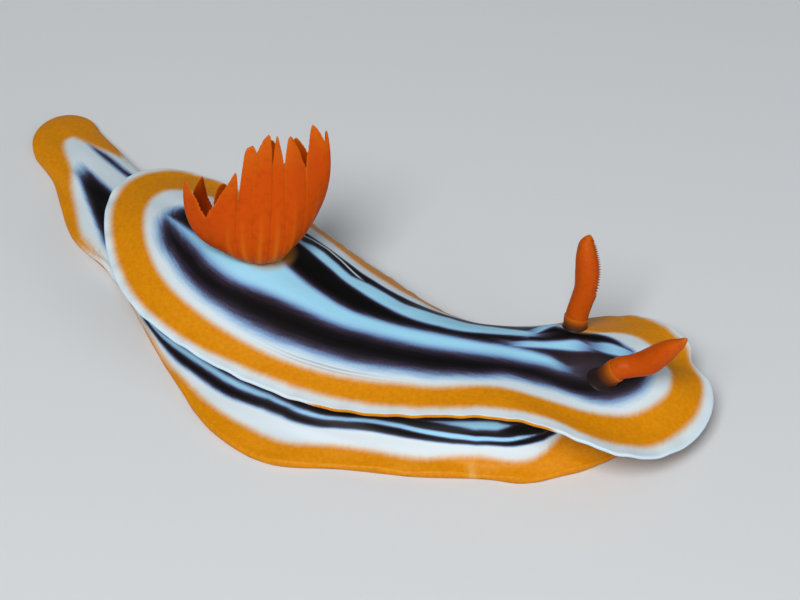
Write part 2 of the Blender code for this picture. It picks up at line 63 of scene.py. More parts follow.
FALL_POWER = 1.2
DROOP = np.array([0.2, 0.12, 0.04, 0.0, 0.03, 0.07, 0.1, 0.13, 0.77, 0.72, 0.4, 0.2])
DROOP_POWER = 4.0
RIM_THICKNESS, CORE_THICKNESS, RIM_ROUND = 0.36 * MM, 2.4 * MM, 0.18 * MM
NOTCH_AT, NOTCH_WIDTH, NOTCH_DEPTH = math.radians(347), math.radians(5.5), 1.1 * MM
WAIST = np.array([0.30, 0.45, 0.60, 0.66, 0.66, 0.60, 0.50, 0.60, 0.66, 0.66, 0.60, 0.45])
FLANK_FOOT_RISE = np.array([0.40, 0.34, 0.24, 0.22, 0.22, 0.36, 0.50, 0.36, 0.22, 0.22, 0.24, 0.34])
FLANK_SPREAD, FLANK_LIFT = 0.2, 0.6 * MM
FOOT_FRONT, FOOT_FRONT_ROUND, FOOT_SET_BACK = 5.5 * MM, 7.0 * MM, 12.0 * MM
TAIL_FROM, TAIL_TIP, TAIL_ROUND = 45.0 * MM, 85.9 * MM, 6.0 * MM
FOOT_STATIONS = np.array([5.5, 9, 13, 17, 20, 25, 31, 35.5, 40, 45, 50, 56, 61, 67, 72, 76, 81, 86]) * MM
FOOT_RIGHT = np.array(
    [6.1, 6.3, 7.8, 9.2, 9.0, 9.6, 10.6, 12.5, 11.9, 9.6, 7.9, 6.6, 6.5, 7.3, 6.3, 5.3, 5.2, 4.9]
) * MM
FOOT_LEFT = np.array(
    [6.3, 6.8, 7.3, 7.6, 7.9, 8.2, 8.5, 8.8, 8.9, 8.6, 7.6, 5.8, 3.6, 2.2, 1.3, 1.5, 2.1, 3.3]
) * MM
MARGIN_THICKNESS, MARGIN_ROUND, SOLE_INSET = 0.75 * MM, 0.3 * MM, 4.0 * MM
SNOUT_REACH, SNOUT_WIDTH = 3.1 * MM, math.radians(30)
COLUMNS, RING_SPREAD = 620, 0.18
SPINE_STEP = 0.1 * MM
SPINE_STEPS = np.arange(-5 * MM, 95 * MM, SPINE_STEP)


def smooth(t):
    t = np.clip(t, 0, 1)
    return t * t * (3 - 2 * t)


def through(stations, values, x):
    """A smooth curve through the given values, read at x."""
    slopes = np.gradient(values, stations)
    x = np.clip(x, stations[0], stations[-1])
    i = np.clip(np.searchsorted(stations, x, side="right") - 1, 0, len(stations) - 2)
    h = stations[i + 1] - stations[i]
    t = (x - stations[i]) / h
    start = (2 * t**3 - 3 * t**2 + 1) * values[i] + (t**3 - 2 * t**2 + t) * h * slopes[i]
    end = (3 * t**2 - 2 * t**3) * values[i + 1] + (t**3 - t**2) * h * slopes[i + 1]
    return start + end


def around(values, phi, stations=AROUND):
    """The same round the oval, where the end joins the start."""
    turn = 2 * math.pi
    stations = np.concatenate([stations[-2:] - turn, stations, stations[:2] + turn])
    values = np.concatenate([values[-2:], values, values[:2]])
    return through(stations, values, np.mod(phi, turn))


HEADINGS = HEAD_HEADING + BEND * smooth((SPINE_STEPS - BEND_FROM) / (BEND_TO - BEND_FROM))


def run(slopes):
    """How far the spine has gone in one direction at each step, counted from station 0."""
    total = np.cumsum(slopes) * SPINE_STEP
    return total - np.interp(0, SPINE_STEPS, total)


SPINE_X = FRONT_X - run(np.cos(HEADINGS))
SPINE_Y = FRONT_Y + run(np.sin(HEADINGS))


def place(s, n, z):
    """World points for body coordinates."""
    heading = np.interp(s, SPINE_STEPS, HEADINGS)
    x = np.interp(s, SPINE_STEPS, SPINE_X) - n * np.sin(heading)
    y = np.interp(s, SPINE_STEPS, SPINE_Y) - n * np.cos(heading)
    return np.stack([x, y, np.broadcast_to(z, x.shape)], -1)


def rounded(s, start, length):
    return np.sqrt(1 - np.clip(1 - (s - start) / length, 0, 1) ** 2)


def rim(phi):
    """The mantle's edge in plan."""
    s = MANTLE_LENGTH / 2 * (1 - np.cos(phi))
    right = np.sin(phi) >= 0
    width = np.where(
        right, through(WIDTH_STATIONS, WIDTH_RIGHT, s), -through(WIDTH_STATIONS, WIDTH_LEFT, s)
    )
    ends = rounded(s, 0, MANTLE_FRONT_ROUND) * rounded(MANTLE_LENGTH - s, 0, MANTLE_REAR_ROUND)
    notch = NOTCH_DEPTH * np.exp(-(((phi - NOTCH_AT) / NOTCH_WIDTH) ** 2))
    return s + notch, width * ends


def crest(phi):
    share = (1 - np.cos(phi)) / 2
    return CREST_FRONT + (MANTLE_LENGTH - CREST_FRONT - CREST_REAR) * share


def back(phi, u):
    """The mantle's upper surface, from u = 0 on the crest to u = 1 at the edge."""
    s_rim, n_rim = rim(phi)
    s_crest = crest(phi)
    low = around(RIM_HEIGHTS, phi)
    high = through(CREST_STATIONS, CREST_HEIGHTS, s_crest)
    droop = around(DROOP, phi)
    fall = (1 - droop) * 0.5 * (1 + np.cos(math.pi * u**FALL_POWER)) + droop * (1 - u**DROOP_POWER)
    return s_crest + (s_rim - s_crest) * u, n_rim * u, low + (high - low) * fall


def underside(phi, u):
    s, n, z = back(phi, u)
    return s, n, z - RIM_THICKNESS - (CORE_THICKNESS - RIM_THICKNESS) * (1 - u * u)


def foot_middle(s):
    return (through(FOOT_STATIONS, FOOT_RIGHT, s) - through(FOOT_STATIONS, FOOT_LEFT, s)) / 2


def foot_half(s):
    return (through(FOOT_STATIONS, FOOT_RIGHT, s) + through(FOOT_STATIONS, FOOT_LEFT, s)) / 2


def foot_edge(phi):
    """The foot's margin in plan; its hind part is drawn out into the tail."""
    s = MANTLE_LENGTH / 2 * (1 - np.cos(phi))
    front = FOOT_FRONT * np.clip(1 - s / FOOT_SET_BACK, 0, 1) ** 2
    hind = np.clip((s - TAIL_FROM) / (MANTLE_LENGTH - TAIL_FROM), 0, 1) ** 2
    s = s + front + (TAIL_TIP - MANTLE_LENGTH) * hind
    ends = rounded(s, FOOT_FRONT, FOOT_FRONT_ROUND) * rounded(TAIL_TIP - s, 0, TAIL_ROUND)
    return s, foot_middle(s) + np.where(np.sin(phi) >= 0, 1, -1) * foot_half(s) * ends


def flank(phi, t):
    """From t = 0 at the waist, under the mantle, to t = 1 on top of the foot's margin."""
    s_waist, n_waist, z_waist = underside(phi, around(WAIST, phi))
    s_foot, n_foot = foot_edge(phi)
    ahead = np.minimum(phi, 2 * math.pi - phi) / SNOUT_WIDTH
    s_mid = s_waist + FLANK_SPREAD * (s_foot - s_waist) - SNOUT_REACH * np.exp(-(ahead**2))
    n_mid = n_waist + FLANK_SPREAD * (n_foot - n_waist)
    z_mid = around(FLANK_FOOT_RISE, phi) * z_waist + FLANK_LIFT
    a, b, c = (1 - t) ** 2, 2 * t * (1 - t), t * t
    s = a * s_waist + b * s_mid + c * s_foot
    n = a * n_waist + b * n_mid + c * n_foot
    return s, n, a * z_waist + b * z_mid + c * MARGIN_THICKNESS


BACK_ROWS, RIM_ROWS, UNDER_ROWS, FLANK_ROWS, HEM_ROWS = 76, 10, 11, 40, 9
FURTHEST_OUT = 3  # of the rows that turn under the rim, and under the hem, the one at the edge
SOLE_SHARES = (0.85, 0.65, 0.45, 0.2, 0)
phi = np.linspace(0, 2 * math.pi, COLUMNS, endpoint=False)
phi = phi + RING_SPREAD * np.sin(2 * phi)
s_rim, n_rim = rim(phi)
inset = 1 - RIM_ROUND / np.hypot(s_rim - crest(phi), n_rim)
waist = around(WAIST, phi)
rows = [back(phi, share * inset) for share in np.linspace(0, 1, BACK_ROWS)]
rim_row = len(rows) + FURTHEST_OUT
for turn in np.linspace(0, math.pi, RIM_ROWS)[1:-1]:
    share = inset + (1 - inset) * math.sin(turn)
    s, n, upper = back(phi, share)
    lower = underside(phi, share)[2]
    rows.append((s, n, upper + (lower - upper) * (1 - math.cos(turn)) / 2))
rows += [underside(phi, inset + (waist - inset) * t) for t in np.linspace(0, 1, UNDER_ROWS)]
waist_row = len(rows) - 1
rows += [flank(phi, np.full_like(phi, t)) for t in np.linspace(0, 1, FLANK_ROWS)[1:]]
s_foot, n_foot = foot_edge(phi)
drawn_in = 1 - 2 * SOLE_INSET / (TAIL_TIP - FOOT_FRONT)
s_line = FOOT_FRONT + SOLE_INSET + (s_foot - FOOT_FRONT) * drawn_in
n_line = foot_middle(s_line)
out = MARGIN_ROUND / np.hypot(s_foot - s_line, n_foot - n_line)
hem_row = len(rows) + FURTHEST_OUT
for turn in np.linspace(0, math.pi, HEM_ROWS)[1:]:
    share = 1 + out * math.sin(turn)
    z = MARGIN_THICKNESS * (1 + math.cos(turn)) / 2 * np.ones_like(phi)
    rows.append((s_line + (s_foot - s_line) * share, n_line + (n_foot - n_line) * share, z))
for share in SOLE_SHARES:
    z = np.zeros_like(phi)
    rows.append((s_line + (s_foot - s_line) * share, n_line + (n_foot - n_line) * share, z))
plan_s = np.array([row[0] for row in rows])
plan_n = np.array([row[1] for row in rows])
points = np.array([place(*row) for row in rows])

# The corner at the waist is a soft fillet on the animal.
FILLET_PASSES, FILLET_ROWS_ABOVE, FILLET_ROWS_BELOW = 8, 5, 7
low, high = waist_row - FILLET_ROWS_ABOVE, waist_row + FILLET_ROWS_BELOW
for _ in range(FILLET_PASSES):
    above, below = points[low - 1 : high - 1], points[low + 1 : high + 1]
    points[low:high] = (above + 2 * points[low:high] + below) / 4


def along_columns(points, row):
    """How far each point lies from one row, measured over the skin along its own column, in mm."""
    steps = np.linalg.norm(np.diff(points, axis=0), axis=2)
    total = np.concatenate([np.zeros((1, points.shape[1])), np.cumsum(steps, axis=0)])
    return np.abs(total - total[row]) / MM


from_rim = along_columns(points, rim_row)
from_hem = along_columns(points, hem_row)
s_mm, n_mm = plan_s / MM, plan_n / MM
degrees = np.degrees(np.broadcast_to(phi, s_mm.shape))
row_index = np.arange(len(rows))[:, None] * np.ones((1, COLUMNS))
on_back = row_index < rim_row
on_mantle = row_index <= waist_row
under = (row_index >= rim_row) & on_mantle
on_flank = ~on_mantle & (row_index <= hem_row)
on_sole = row_index > hem_row

# Low swellings of the back, as (s, n, height, radius) in mm: one under each feeler, one on the brow
# beside the left feeler and one under the gill.
SWELLINGS = (
    (9.9, 2.2, 0.45, 2.0),
    (12.4, -4.0, 0.4, 1.8),
    (15.0, -4.2, 0.35, 1.3),
    (45.8, -2.2, 0.45, 3.2),
)
SWELLING_FADE = 2  # mm from the rim


def swelling(s, n):
    """How far the skin stands above the plain back, in metres, for a place in mm."""
    height = 0.0
    for s0, n0, rise, radius in SWELLINGS:
        height = height + rise * np.exp(-((s - s0) ** 2 + (n - n0) ** 2) / radius**2)
    return height * MM


points[..., 2] += np.where(on_back, swelling(s_mm, n_mm) * smooth(from_rim / SWELLING_FADE), 0)


def grain(points, size, seed):
    """Smooth noise between -1 and 1 at each point, with lumps of the given size."""
    flat = points.reshape(-1, 3) / size + seed
    return np.array([noise.noise(Vector(p)) for p in flat]).reshape(points.shape[:-1])


# Faint ripples over the back, stronger waves at the frilled edge, and creases along the flank.
# The frill is three waves, 3.3, 1.9 and 3 mm long, that fade over its reach in mm.
RIPPLE, RIPPLE_SIZE, RIPPLE_SEED, RIPPLE_DRAWN_OUT = 0.07 * MM, 1.6 * MM, 3.0, 0.45
FRILL, FRILL_REACH = 0.06 * MM, 1.5
CREASE, CREASE_SIZE, CREASE_SEED = 0.16 * MM, 0.8 * MM, 9.0
CREASE_ALONG, CREASE_UP, CREASE_ACROSS = 0.12, 0.9, 0.6
CREASE_HEM_CLEAR, CREASE_WAIST_ROWS = 1.5, 8
ripple = grain(
    np.stack([plan_s * RIPPLE_DRAWN_OUT, plan_n, np.zeros_like(plan_n)], -1), RIPPLE_SIZE, RIPPLE_SEED
)
frill_waves = np.sin(s_mm * 1.9) + 0.6 * np.sin(s_mm * 3.3 + 1.0) + 0.5 * np.sin(n_mm * 2.1)
near_edge = np.exp(-((from_rim / FRILL_REACH) ** 2)) * on_mantle
points[..., 2] += RIPPLE * ripple * smooth(from_rim / FRILL_REACH) * on_back
points[..., 2] += FRILL * frill_waves * near_edge
crease_places = [plan_s * CREASE_ALONG, points[..., 2] * CREASE_UP, plan_n * CREASE_ACROSS]
crease = grain(np.stack(crease_places, -1), CREASE_SIZE, CREASE_SEED)
crease *= smooth(from_hem / CREASE_HEM_CLEAR) * on_flank
crease *= smooth((row_index - waist_row) / CREASE_WAIST_ROWS)
columns_out = np.stack([s_foot - s_line, n_foot - n_line], -1)
columns_out /= np.linalg.norm(columns_out, axis=1, keepdims=True)
bulged = place(
    plan_s + CREASE * crease * columns_out[:, 0],
    plan_n + CREASE * crease * columns_out[:, 1],
    points[..., 2] + CREASE * 0.5 * crease,
)
points = np.where(on_flank[..., None], bulged, points)
HEM_WAVE, HEM_WAVE_REACH = 0.16 * MM, 1.2
hem_near = np.exp(-((from_hem / HEM_WAVE_REACH) ** 2)) * on_flank
points[..., 2] += HEM_WAVE * np.sin(s_mm * 1.15 + 0.4 * np.sin(s_mm * 0.7)) * hem_near


def lay_sheet(bm, points, fields):
    """Add a sheet of quads laid over rows of points; every vertex also carries the given fields."""
    row_count, column_count = points.shape[:2]
    layers = [bm.verts.layers.float.get(name) or bm.verts.layers.float.new(name) for name in fields]
    made = bmesh.ops.create_grid(bm, x_segments=column_count - 1, y_segments=row_count - 1, size=1)
    for vert in made["verts"]:
        i = round((vert.co.x + 1) / 2 * (column_count - 1))
        j = round((vert.co.y + 1) / 2 * (row_count - 1))
        vert.co = points[j, i]
        for layer, values in zip(layers, fields.values()):
            vert[layer] = values[j, i]


def make_piece(name, bm):
    """Sew the edges of the sheets that meet, turn the faces outward and put the piece in the scene."""
    bmesh.ops.remove_doubles(bm, verts=bm.verts, dist=1e-7)
    bmesh.ops.recalc_face_normals(bm, faces=bm.faces)
    mesh = bpy.data.meshes.new(name)
    bm.to_mesh(mesh)
    bm.free()
    mesh.shade_smooth()
    piece = bpy.data.objects.new(name, mesh)
    bpy.context.scene.collection.objects.link(piece)
    return piece


def closed_round(values):
    """Repeat the first column after the last, so that a ring closes."""
    return np.concatenate([values, values[:, :1]], axis=1)


# The markings, all in mm over the skin: each field is positive inside its colour.
# Round the oval in degrees: outer and inner edge of the orange band, then where the white beyond it
# turns dark, and how abruptly it does.
BANDS = np.array([
    (0, 1.25, 4.65, 7.2, 1), (10, 1.35, 4.6, 7.0, 1), (20, 1.45, 4.65, 6.6, 1),
    (30, 1.35, 4.7, 6.4, 1), (40, 1.5, 4.85, 6.5, 1), (50, 1.45, 4.7, 7.1, 0.9),
    (55, 1.7, 4.6, 6.9, 0.9), (60, 1.55, 4.5, 6.6, 0.9), (65, 1.4, 4.2, 5.7, 1),
    (70, 1.2, 3.6, 5.1, 1), (75, 1.0, 3.2, 4.8, 1), (80, 1.1, 3.35, 4.9, 1), (90, 1.3, 3.4, 5.1, 1),
    (100, 1.35, 3.4, 5.35, 0.9), (105, 1.3, 3.55, 5.45, 0.8), (110, 1.0, 3.8, 5.7, 0.8),
    (120, 0.95, 4.25, 6.2, 0.9), (130, 0.95, 4.25, 6.3, 0.9), (140, 0.9, 4.2, 5.9, 0.9),
    (150, 0.9, 4.35, 6.4, 0.8), (160, 0.95, 4.55, 7.4, 0.7), (170, 0.95, 4.65, 8.1, 0.8),
    (180, 0.9, 4.7, 8.4, 1), (200, 0.5, 4.6, 8.2, 1), (220, 0.5, 4.0, 6.8, 1.5),
    (232, 0.9, 3.3, 5.6, 2.5), (242, 1.1, 3.1, 5.15, 3.5), (250, 1.1, 3.0, 4.75, 4),
    (256, 1.1, 3.1, 4.65, 4), (262, 1.1, 3.25, 4.8, 4), (268, 1.1, 3.4, 4.85, 4),
    (274, 1.0, 3.0, 4.5, 4), (280, 1.0, 2.7, 3.9, 3.5), (286, 1.0, 2.6, 3.5, 3),
    (294, 1.0, 3.0, 4.2, 2.5), (304, 0.7, 4.0, 5.6, 2), (312, 0.4, 6.4, 7.0, 2),
    (318, 0.35, 7.3, 7.4, 2.2), (321, 0.4, 7.0, 7.2, 2.2), (325, 0.5, 5.5, 6.8, 2.5),
    (330, 0.7, 4.7, 6.8, 2.5), (336, 1.0, 4.5, 7.1, 1.5), (341, 0.6, 4.5, 6.9, 1.5),
    (346, 0.3, 4.3, 6.9, 1.2), (351, 0.8, 4.4, 7.1, 1),
])
# The light blue stripe of the far side in the same way: its two edges, how abruptly it ends across
# and lengthways, and the white fold beside it, with the degrees over which the fold's ends fade.
OUTER = np.array([
    (238, 7.2, 7.5), (244, 6.9, 7.5), (247, 6.3, 7.4), (250, 6.05, 7.4), (255, 6.15, 7.5),
    (260, 6.35, 7.65), (265, 5.95, 7.75), (270, 5.75, 7.75), (275, 5.7, 7.65), (280, 5.1, 7.45),
    (285, 4.6, 7.3), (290, 5.2, 7.6), (295, 5.7, 7.9), (300, 6.7, 8.35), (305, 7.5, 8.7),
    (308, 8.3, 8.8),
])
OUTER_RATE, OUTER_END_RATE = 2.5, 0.2
FOLD = np.array([(237, 6.4), (241, 6.0), (245, 5.45), (250, 5.05), (255, 5.15), (260, 5.6), (264, 5.95)])
FOLD_FADE = 3
# Light blue stripes along the middle of the back in plan, the last three partly painted highlight:
# how abruptly each ends on its right and on its left, then its rows of (s, right edge, left edge).
MEDIAN = (1.0, 1.6, (
    (13.5, 2.1, 1.5), (14.2, 2.1, 1.0), (15, 1.9, 0.5), (16, 1.7, 0.2), (17.5, 1.55, -0.1),
    (19, 1.4, -0.3), (21.3, 1.25, -0.4), (25.8, 1.1, -0.84), (30.3, 0.9, -1.06), (34.7, 1.0, -1.3),
    (39.2, 1.1, -1.95), (42, 1.6, -2.3), (45, 2.4, -2.4), (48, 2.5, 0.2), (50, 2.3, 0.9),
    (52, 2.2, 1.2), (54, 2.1, 1.45), (56.5, 2.0, 1.8),
))
# Partly a blue branch of the median stripe, partly a painted highlight on the dark beside it.
BRANCH_AND_HIGHLIGHT = (2.5, 2.5, (
    (11.6, -0.9, -1.5), (12.5, -0.7, -2.0), (14.2, -0.6, -1.8), (15.6, -0.5, -1.5), (17, -0.4, -1.3),
    (18.5, -0.4, -0.9),
))
# Partly a light blue patch on the snout, partly a painted highlight on it.
SNOUT_STREAK_AND_HIGHLIGHT = (2.5, 2.5, (
    (7.2, -1.0, -1.3), (8.4, -0.6, -1.9), (9.7, -0.7, -2.3), (11.2, -1.2, -2.0),
))
# Partly the far blue stripe running on, partly a painted highlight along the brow ridge by the left
# feeler.
BROW_STRIPE_AND_HIGHLIGHT = (2.5, 2.5, (
    (11.3, -3.6, -4.1), (13.4, -3.8, -4.3), (14.7, -3.9, -5.1), (15.7, -3.3, -4.7), (17.2, -1.9, -3.1),
))
STRIPE_END_RATE = 0.4
# Flank and foot, round the oval in degrees: top of the orange hem, start of the dark above the white,
# and the lower and upper edges of the light blue line and of the painted sheen, a pale patch over it.
FLANK_BANDS = np.array([
    (40, 7.0, 8.0, 8.4, 8.5, 9.0, 8.9), (46, 5.2, 6.4, 6.9, 7.0, 8.0, 7.9),
    (52, 3.5, 4.1, 4.8, 4.7, 8.0, 7.0), (55, 2.6, 3.6, 4.3, 4.2, 7.0, 6.0),
    (58, 2.05, 3.5, 4.1, 4.3, 5.6, 5.3), (60, 1.95, 3.45, 4.0, 4.35, 5.6, 5.3),
    (64, 1.95, 3.3, 3.72, 4.12, 4.75, 5.6), (68, 2.0, 3.05, 3.4, 3.85, 4.45, 5.3),
    (72, 1.85, 3.1, 3.55, 4.05, 4.75, 5.1), (76, 1.6, 3.3, 3.9, 4.35, 5.2, 5.0),
    (80, 1.7, 3.5, 4.3, 4.7, 5.5, 5.3), (84, 1.95, 3.75, 4.5, 4.9, 7, 6),
    (88, 2.15, 3.9, 4.6, 4.95, 7, 6), (91, 2.3, 4.2, 4.95, 5.3, 7, 6), (94, 2.4, 4.6, 5.45, 5.9, 7, 6),
    (97, 2.45, 4.85, 5.8, 6.15, 7, 6), (100, 2.4, 4.65, 5.65, 6.1, 7, 6),
    (104, 2.0, 3.8, 4.9, 5.5, 7, 6), (108, 1.45, 2.85, 4.0, 4.6, 7, 6),
    (112, 0.9, 2.15, 3.2, 3.8, 7, 6), (116, 0.55, 1.5, 2.55, 3.2, 7, 6),
    (120, 0.3, 1.1, 1.95, 2.6, 7, 6), (124, 0.1, 0.6, 1.35, 1.8, 7, 6),
    (150, 0.1, 1.2, 1.6, 1.7, 7, 6), (180, 0.3, 1.4, 1.8, 1.8, 7, 6),
])
FLANK_SHARPNESS = np.array([(40, 2), (60, 6), (84, 5), (95, 3.2), (104, 2.8), (124, 2.5), (180, 1.0)])
PAINTED_SHEEN_RATE = 0.6
# Tail in plan, as (s, right edge, left edge) of its two black wedges, and (s, width on the right,
# width on the left) of its orange hem. Its markings take over from the flank's between two stations.
TAIL_WEDGES = (
    (
        (56, 6.2, 3.4), (60, 6.1, 3.0), (62.5, 6.0, 2.6), (65, 5.5, 2.4), (68, 4.8, 2.4),
        (72, 4.0, 2.5), (73.2, 3.7, 2.5), (73.9, 3.6, 2.6),
    ),
    (
        (56, -1.8, -6), (60, -0.8, -3.6), (66, -0.3, -1.7), (70, 0.0, -0.6), (72, 0.1, -0.4),
        (75, 0.3, -0.25), (78, 0.3, 0.2),
    ),
)
TAIL_HEM = np.array([
    (54, 0.0, 0.0), (61, 0.0, 0.0), (64, 0.4, 0.0), (66, 0.75, 0.0), (69, 1.2, 0.0), (73.4, 1.5, 0.1),
    (76.8, 2.1, 1.5), (79.4, 2.7, 2.6), (81.5, 3.6, 3.6),
])
TAIL_WHITE_END, TAIL_RATE = 81.0, 2.2
TAIL_TAKES_OVER, TAIL_ALONE = 55, 60


def inside_stripe(stripe, s, n):
    """Distance into a stripe given in plan, tapering at its two ends."""
    right_rate, left_rate, table = stripe
    table = np.array(table, float)
    right, left = (through(table[:, 0], table[:, side], s) for side in (1, 2))
    ends = np.minimum(s - table[0, 0], table[-1, 0] - s)
    sides = np.minimum(right_rate * (right - n), left_rate * (n - left))
    return np.minimum(sides, STRIPE_END_RATE * ends)


def inside_bounds(table, at):
    """How far a place lies from the nearer end of a table, negative outside it."""
    return np.minimum(at - table[0, 0], table[-1, 0] - at)


turn_degrees = np.degrees(phi)
band_angles = np.radians(BANDS[:, 0])
orange_out, orange_in, black_start, rate = (
    around(BANDS[:, k], phi, band_angles) for k in (1, 2, 3, 4)
)
back_orange = np.minimum(from_rim - orange_out, orange_in - from_rim)
back_black = rate * (from_rim - black_start)
outer_out, outer_in = (np.interp(turn_degrees, OUTER[:, 0], OUTER[:, k]) for k in (1, 2))
outer = OUTER_RATE * np.minimum(from_rim - outer_out, outer_in - from_rim)
outer = np.minimum(outer, OUTER_END_RATE * inside_bounds(OUTER, turn_degrees))
stripes = [inside_stripe(stripe, s_mm, n_mm) for stripe in (MEDIAN, BRANCH_AND_HIGHLIGHT, SNOUT_STREAK_AND_HIGHLIGHT, BROW_STRIPE_AND_HIGHLIGHT)]
back_blue = np.max([outer] + stripes, axis=0)
fold = from_rim - np.interp(turn_degrees, FOLD[:, 0], FOLD[:, 1])
fold_shown = np.where(on_back, smooth(inside_bounds(FOLD, turn_degrees) / FOLD_FADE), 0)

folded = np.minimum(phi, 2 * math.pi - phi)
flank_angles = np.radians(FLANK_BANDS[:, 0])
hem_top, lower_black, blue_low, blue_high, sheen_low, sheen_high = (
    np.interp(folded, flank_angles, FLANK_BANDS[:, k]) for k in range(1, 7)
)
sharpness = np.interp(np.degrees(folded), *FLANK_SHARPNESS.T)
flank_orange = hem_top - from_hem
flank_black = sharpness * (from_hem - lower_black)
flank_blue = np.minimum(from_hem - blue_low, blue_high - from_hem)
# The painted sheen: a pale blue-grey patch of light laid over the dark flank, drawn with the blues.
painted_sheen = PAINTED_SHEEN_RATE * np.minimum(from_hem - sheen_low, sheen_high - from_hem)
flank_blue = sharpness * np.maximum(flank_blue, painted_sheen)

NOT_HERE, FAR_OFF, TAIL_REACH = -4.0, 9.0, 52
edge = np.stack([s_foot, n_foot], -1) / MM
to_edge = np.full_like(s_mm, FAR_OFF)
tail_part = on_flank & (s_mm > TAIL_REACH)
tail_places = np.stack([s_mm[tail_part], n_mm[tail_part]], -1)
tail_to_edge = np.linalg.norm(tail_places[:, None] - edge[None], axis=2).min(1)
to_edge[tail_part] = tail_to_edge + MARGIN_ROUND / MM
on_right = n_mm > foot_middle(plan_s) / MM
hem_widths = (np.interp(s_mm, TAIL_HEM[:, 0], TAIL_HEM[:, k]) for k in (1, 2))
tail_orange = np.maximum(np.where(on_right, *hem_widths) - to_edge, s_mm - TAIL_WHITE_END)
wedges = [inside_stripe((TAIL_RATE, TAIL_RATE, wedge), s_mm, n_mm) for wedge in TAIL_WEDGES]
tail_black = np.max(wedges, axis=0)
to_tail = smooth((s_mm - TAIL_TAKES_OVER) / (TAIL_ALONE - TAIL_TAKES_OVER))
flank_orange = flank_orange + (tail_orange - flank_orange) * to_tail
flank_black = flank_black + (tail_black - flank_black) * to_tail
flank_blue = flank_blue - 2 * to_tail

ALL_ORANGE = np.full_like(s_mm, 2)
orange = np.select([on_back, on_flank, on_sole], [back_orange, flank_orange, ALL_ORANGE], NOT_HERE)
black = np.select([on_back, on_flank], [back_black, flank_black], NOT_HERE)
blue = np.select([on_back, on_flank], [back_blue, flank_blue], NOT_HERE)
# The near edge is turned up a little, and a narrow strip of orange shows under it.
STRIP_MIDDLE, STRIP_HALF, STRIP_FADE, STRIP_TURN = 74, 23, 9, 0.14
edge_shown = 3 * smooth((STRIP_HALF - np.abs(degrees - STRIP_MIDDLE)) / STRIP_FADE) - 2
under_rim = (under | (from_rim < STRIP_TURN)) & on_mantle & (edge_shown > -1.9)
orange = np.where(under_rim, edge_shown, orange)
# A violet shade between the feelers, as (s, n) and its reach in both, and grey lines on the near side.
SHADE_S, SHADE_N, SHADE_LENGTH, SHADE_WIDTH = 11.5, 1.0, 3.6, 1.7
GREY_DEGREES, GREY_FROM_RIM = (78, 86, 92, 98, 108), (3.75, 3.95, 4.0, 4.1, 4.5)
GREY_MIDDLE, GREY_REACH = 93, 9
shade = ((s_mm - SHADE_S) / SHADE_LENGTH) ** 2 + ((n_mm - SHADE_N) / SHADE_WIDTH) ** 2
violet = np.where(on_back, np.exp(-shade), 0)
grey_path = from_rim - np.interp(degrees, GREY_DEGREES, GREY_FROM_RIM)
grey_shown = np.where(on_back, np.exp(-(((degrees - GREY_MIDDLE) / GREY_REACH) ** 2)), 0)
# Skin that is tucked under the mantle or the foot, and one pale crease in the near hem.
TUCK_START, TUCK_FADE, SOLE_TUCK_START, SOLE_TUCK_FADE = 0.3, 0.5, 1.2, 1.0
PALE_CREASE_S, PALE_CREASE_WIDTH, PALE_CREASE_TOP, PALE_CREASE_SHARE = 21.0, 0.3, 1.9, 0.45
tucked_rim = smooth((from_rim - TUCK_START) / TUCK_FADE)
tucked_sole = smooth((from_hem - SOLE_TUCK_START) / SOLE_TUCK_FADE)
tucked = np.select([under, on_sole], [tucked_rim, tucked_sole], 0)
from_crease = (s_mm - PALE_CREASE_S - 0.2 * from_hem) / PALE_CREASE_WIDTH
pale_crease = PALE_CREASE_SHARE * np.exp(-(from_crease**2)) * smooth((PALE_CREASE_TOP - from_hem) / 1.2)
pale_crease = np.where(on_flank & (n_mm > 0), pale_crease, 0)
from_edge = np.where(on_mantle & ~under_rim, from_rim, FAR_OFF)
outward = np.where(on_mantle, from_rim, 20 + from_hem + (n_mm - from_hem) * to_tail)
# Amber shows through the skin in a ring round the gill, given in mm.
COLLAR_S, COLLAR_N, AMBER_RADIUS, AMBER_FADE = 45.5, -2.45, 2.75, 0.55
from_collar = np.hypot(s_mm - COLLAR_S, n_mm - COLLAR_N)
amber = np.where(on_back, smooth((AMBER_RADIUS + AMBER_FADE - from_collar) / (2 * AMBER_FADE)), 0)

fields = {
    "orange": orange, "black": black, "blue": blue, "violet": violet, "fold": fold,
    "fold_shown": fold_shown, "grey_path": grey_path, "grey_shown": grey_shown, "tucked": tucked,
    "pale_crease": pale_crease, "from_edge": from_edge, "amber": amber, "lengthways": s_mm,
    "outward": outward,
}
bm = bmesh.new()
lay_sheet(bm, closed_round(points), {name: closed_round(field) for name, field in fields.items()})
skin = make_piece("skin", bm)


def linear(code):
    """A linear colour from its sRGB hex value."""
    parts = [int(code[k : k + 2], 16) / 255 for k in (1, 3, 5)]
    return tuple(c / 12.92 if c <= 0.04045 else ((c + 0.055) / 1.055) ** 2.4 for c in parts) + (1.0,)


def add(tree, kind, inputs=None, stops=None, **settings):
    """Add a node with its settings, its inputs (values or links) and a ramp's colour stops."""
    made = tree.nodes.new(kind)
    for name, value in settings.items():
        setattr(made, name, value)
    for name, given in (inputs or {}).items():
        if isinstance(given, bpy.types.Node):
            given = given.outputs[0]
        if isinstance(given, bpy.types.NodeSocket):
            tree.links.new(given, made.inputs[name])
        else:
            made.inputs[name].default_value = given
    for index, (at, code) in enumerate(stops or ()):
        elements = made.color_ramp.elements
        element = elements[index] if index < 2 else elements.new(at)
        element.position = at
        element.color = linear(code)
    return made


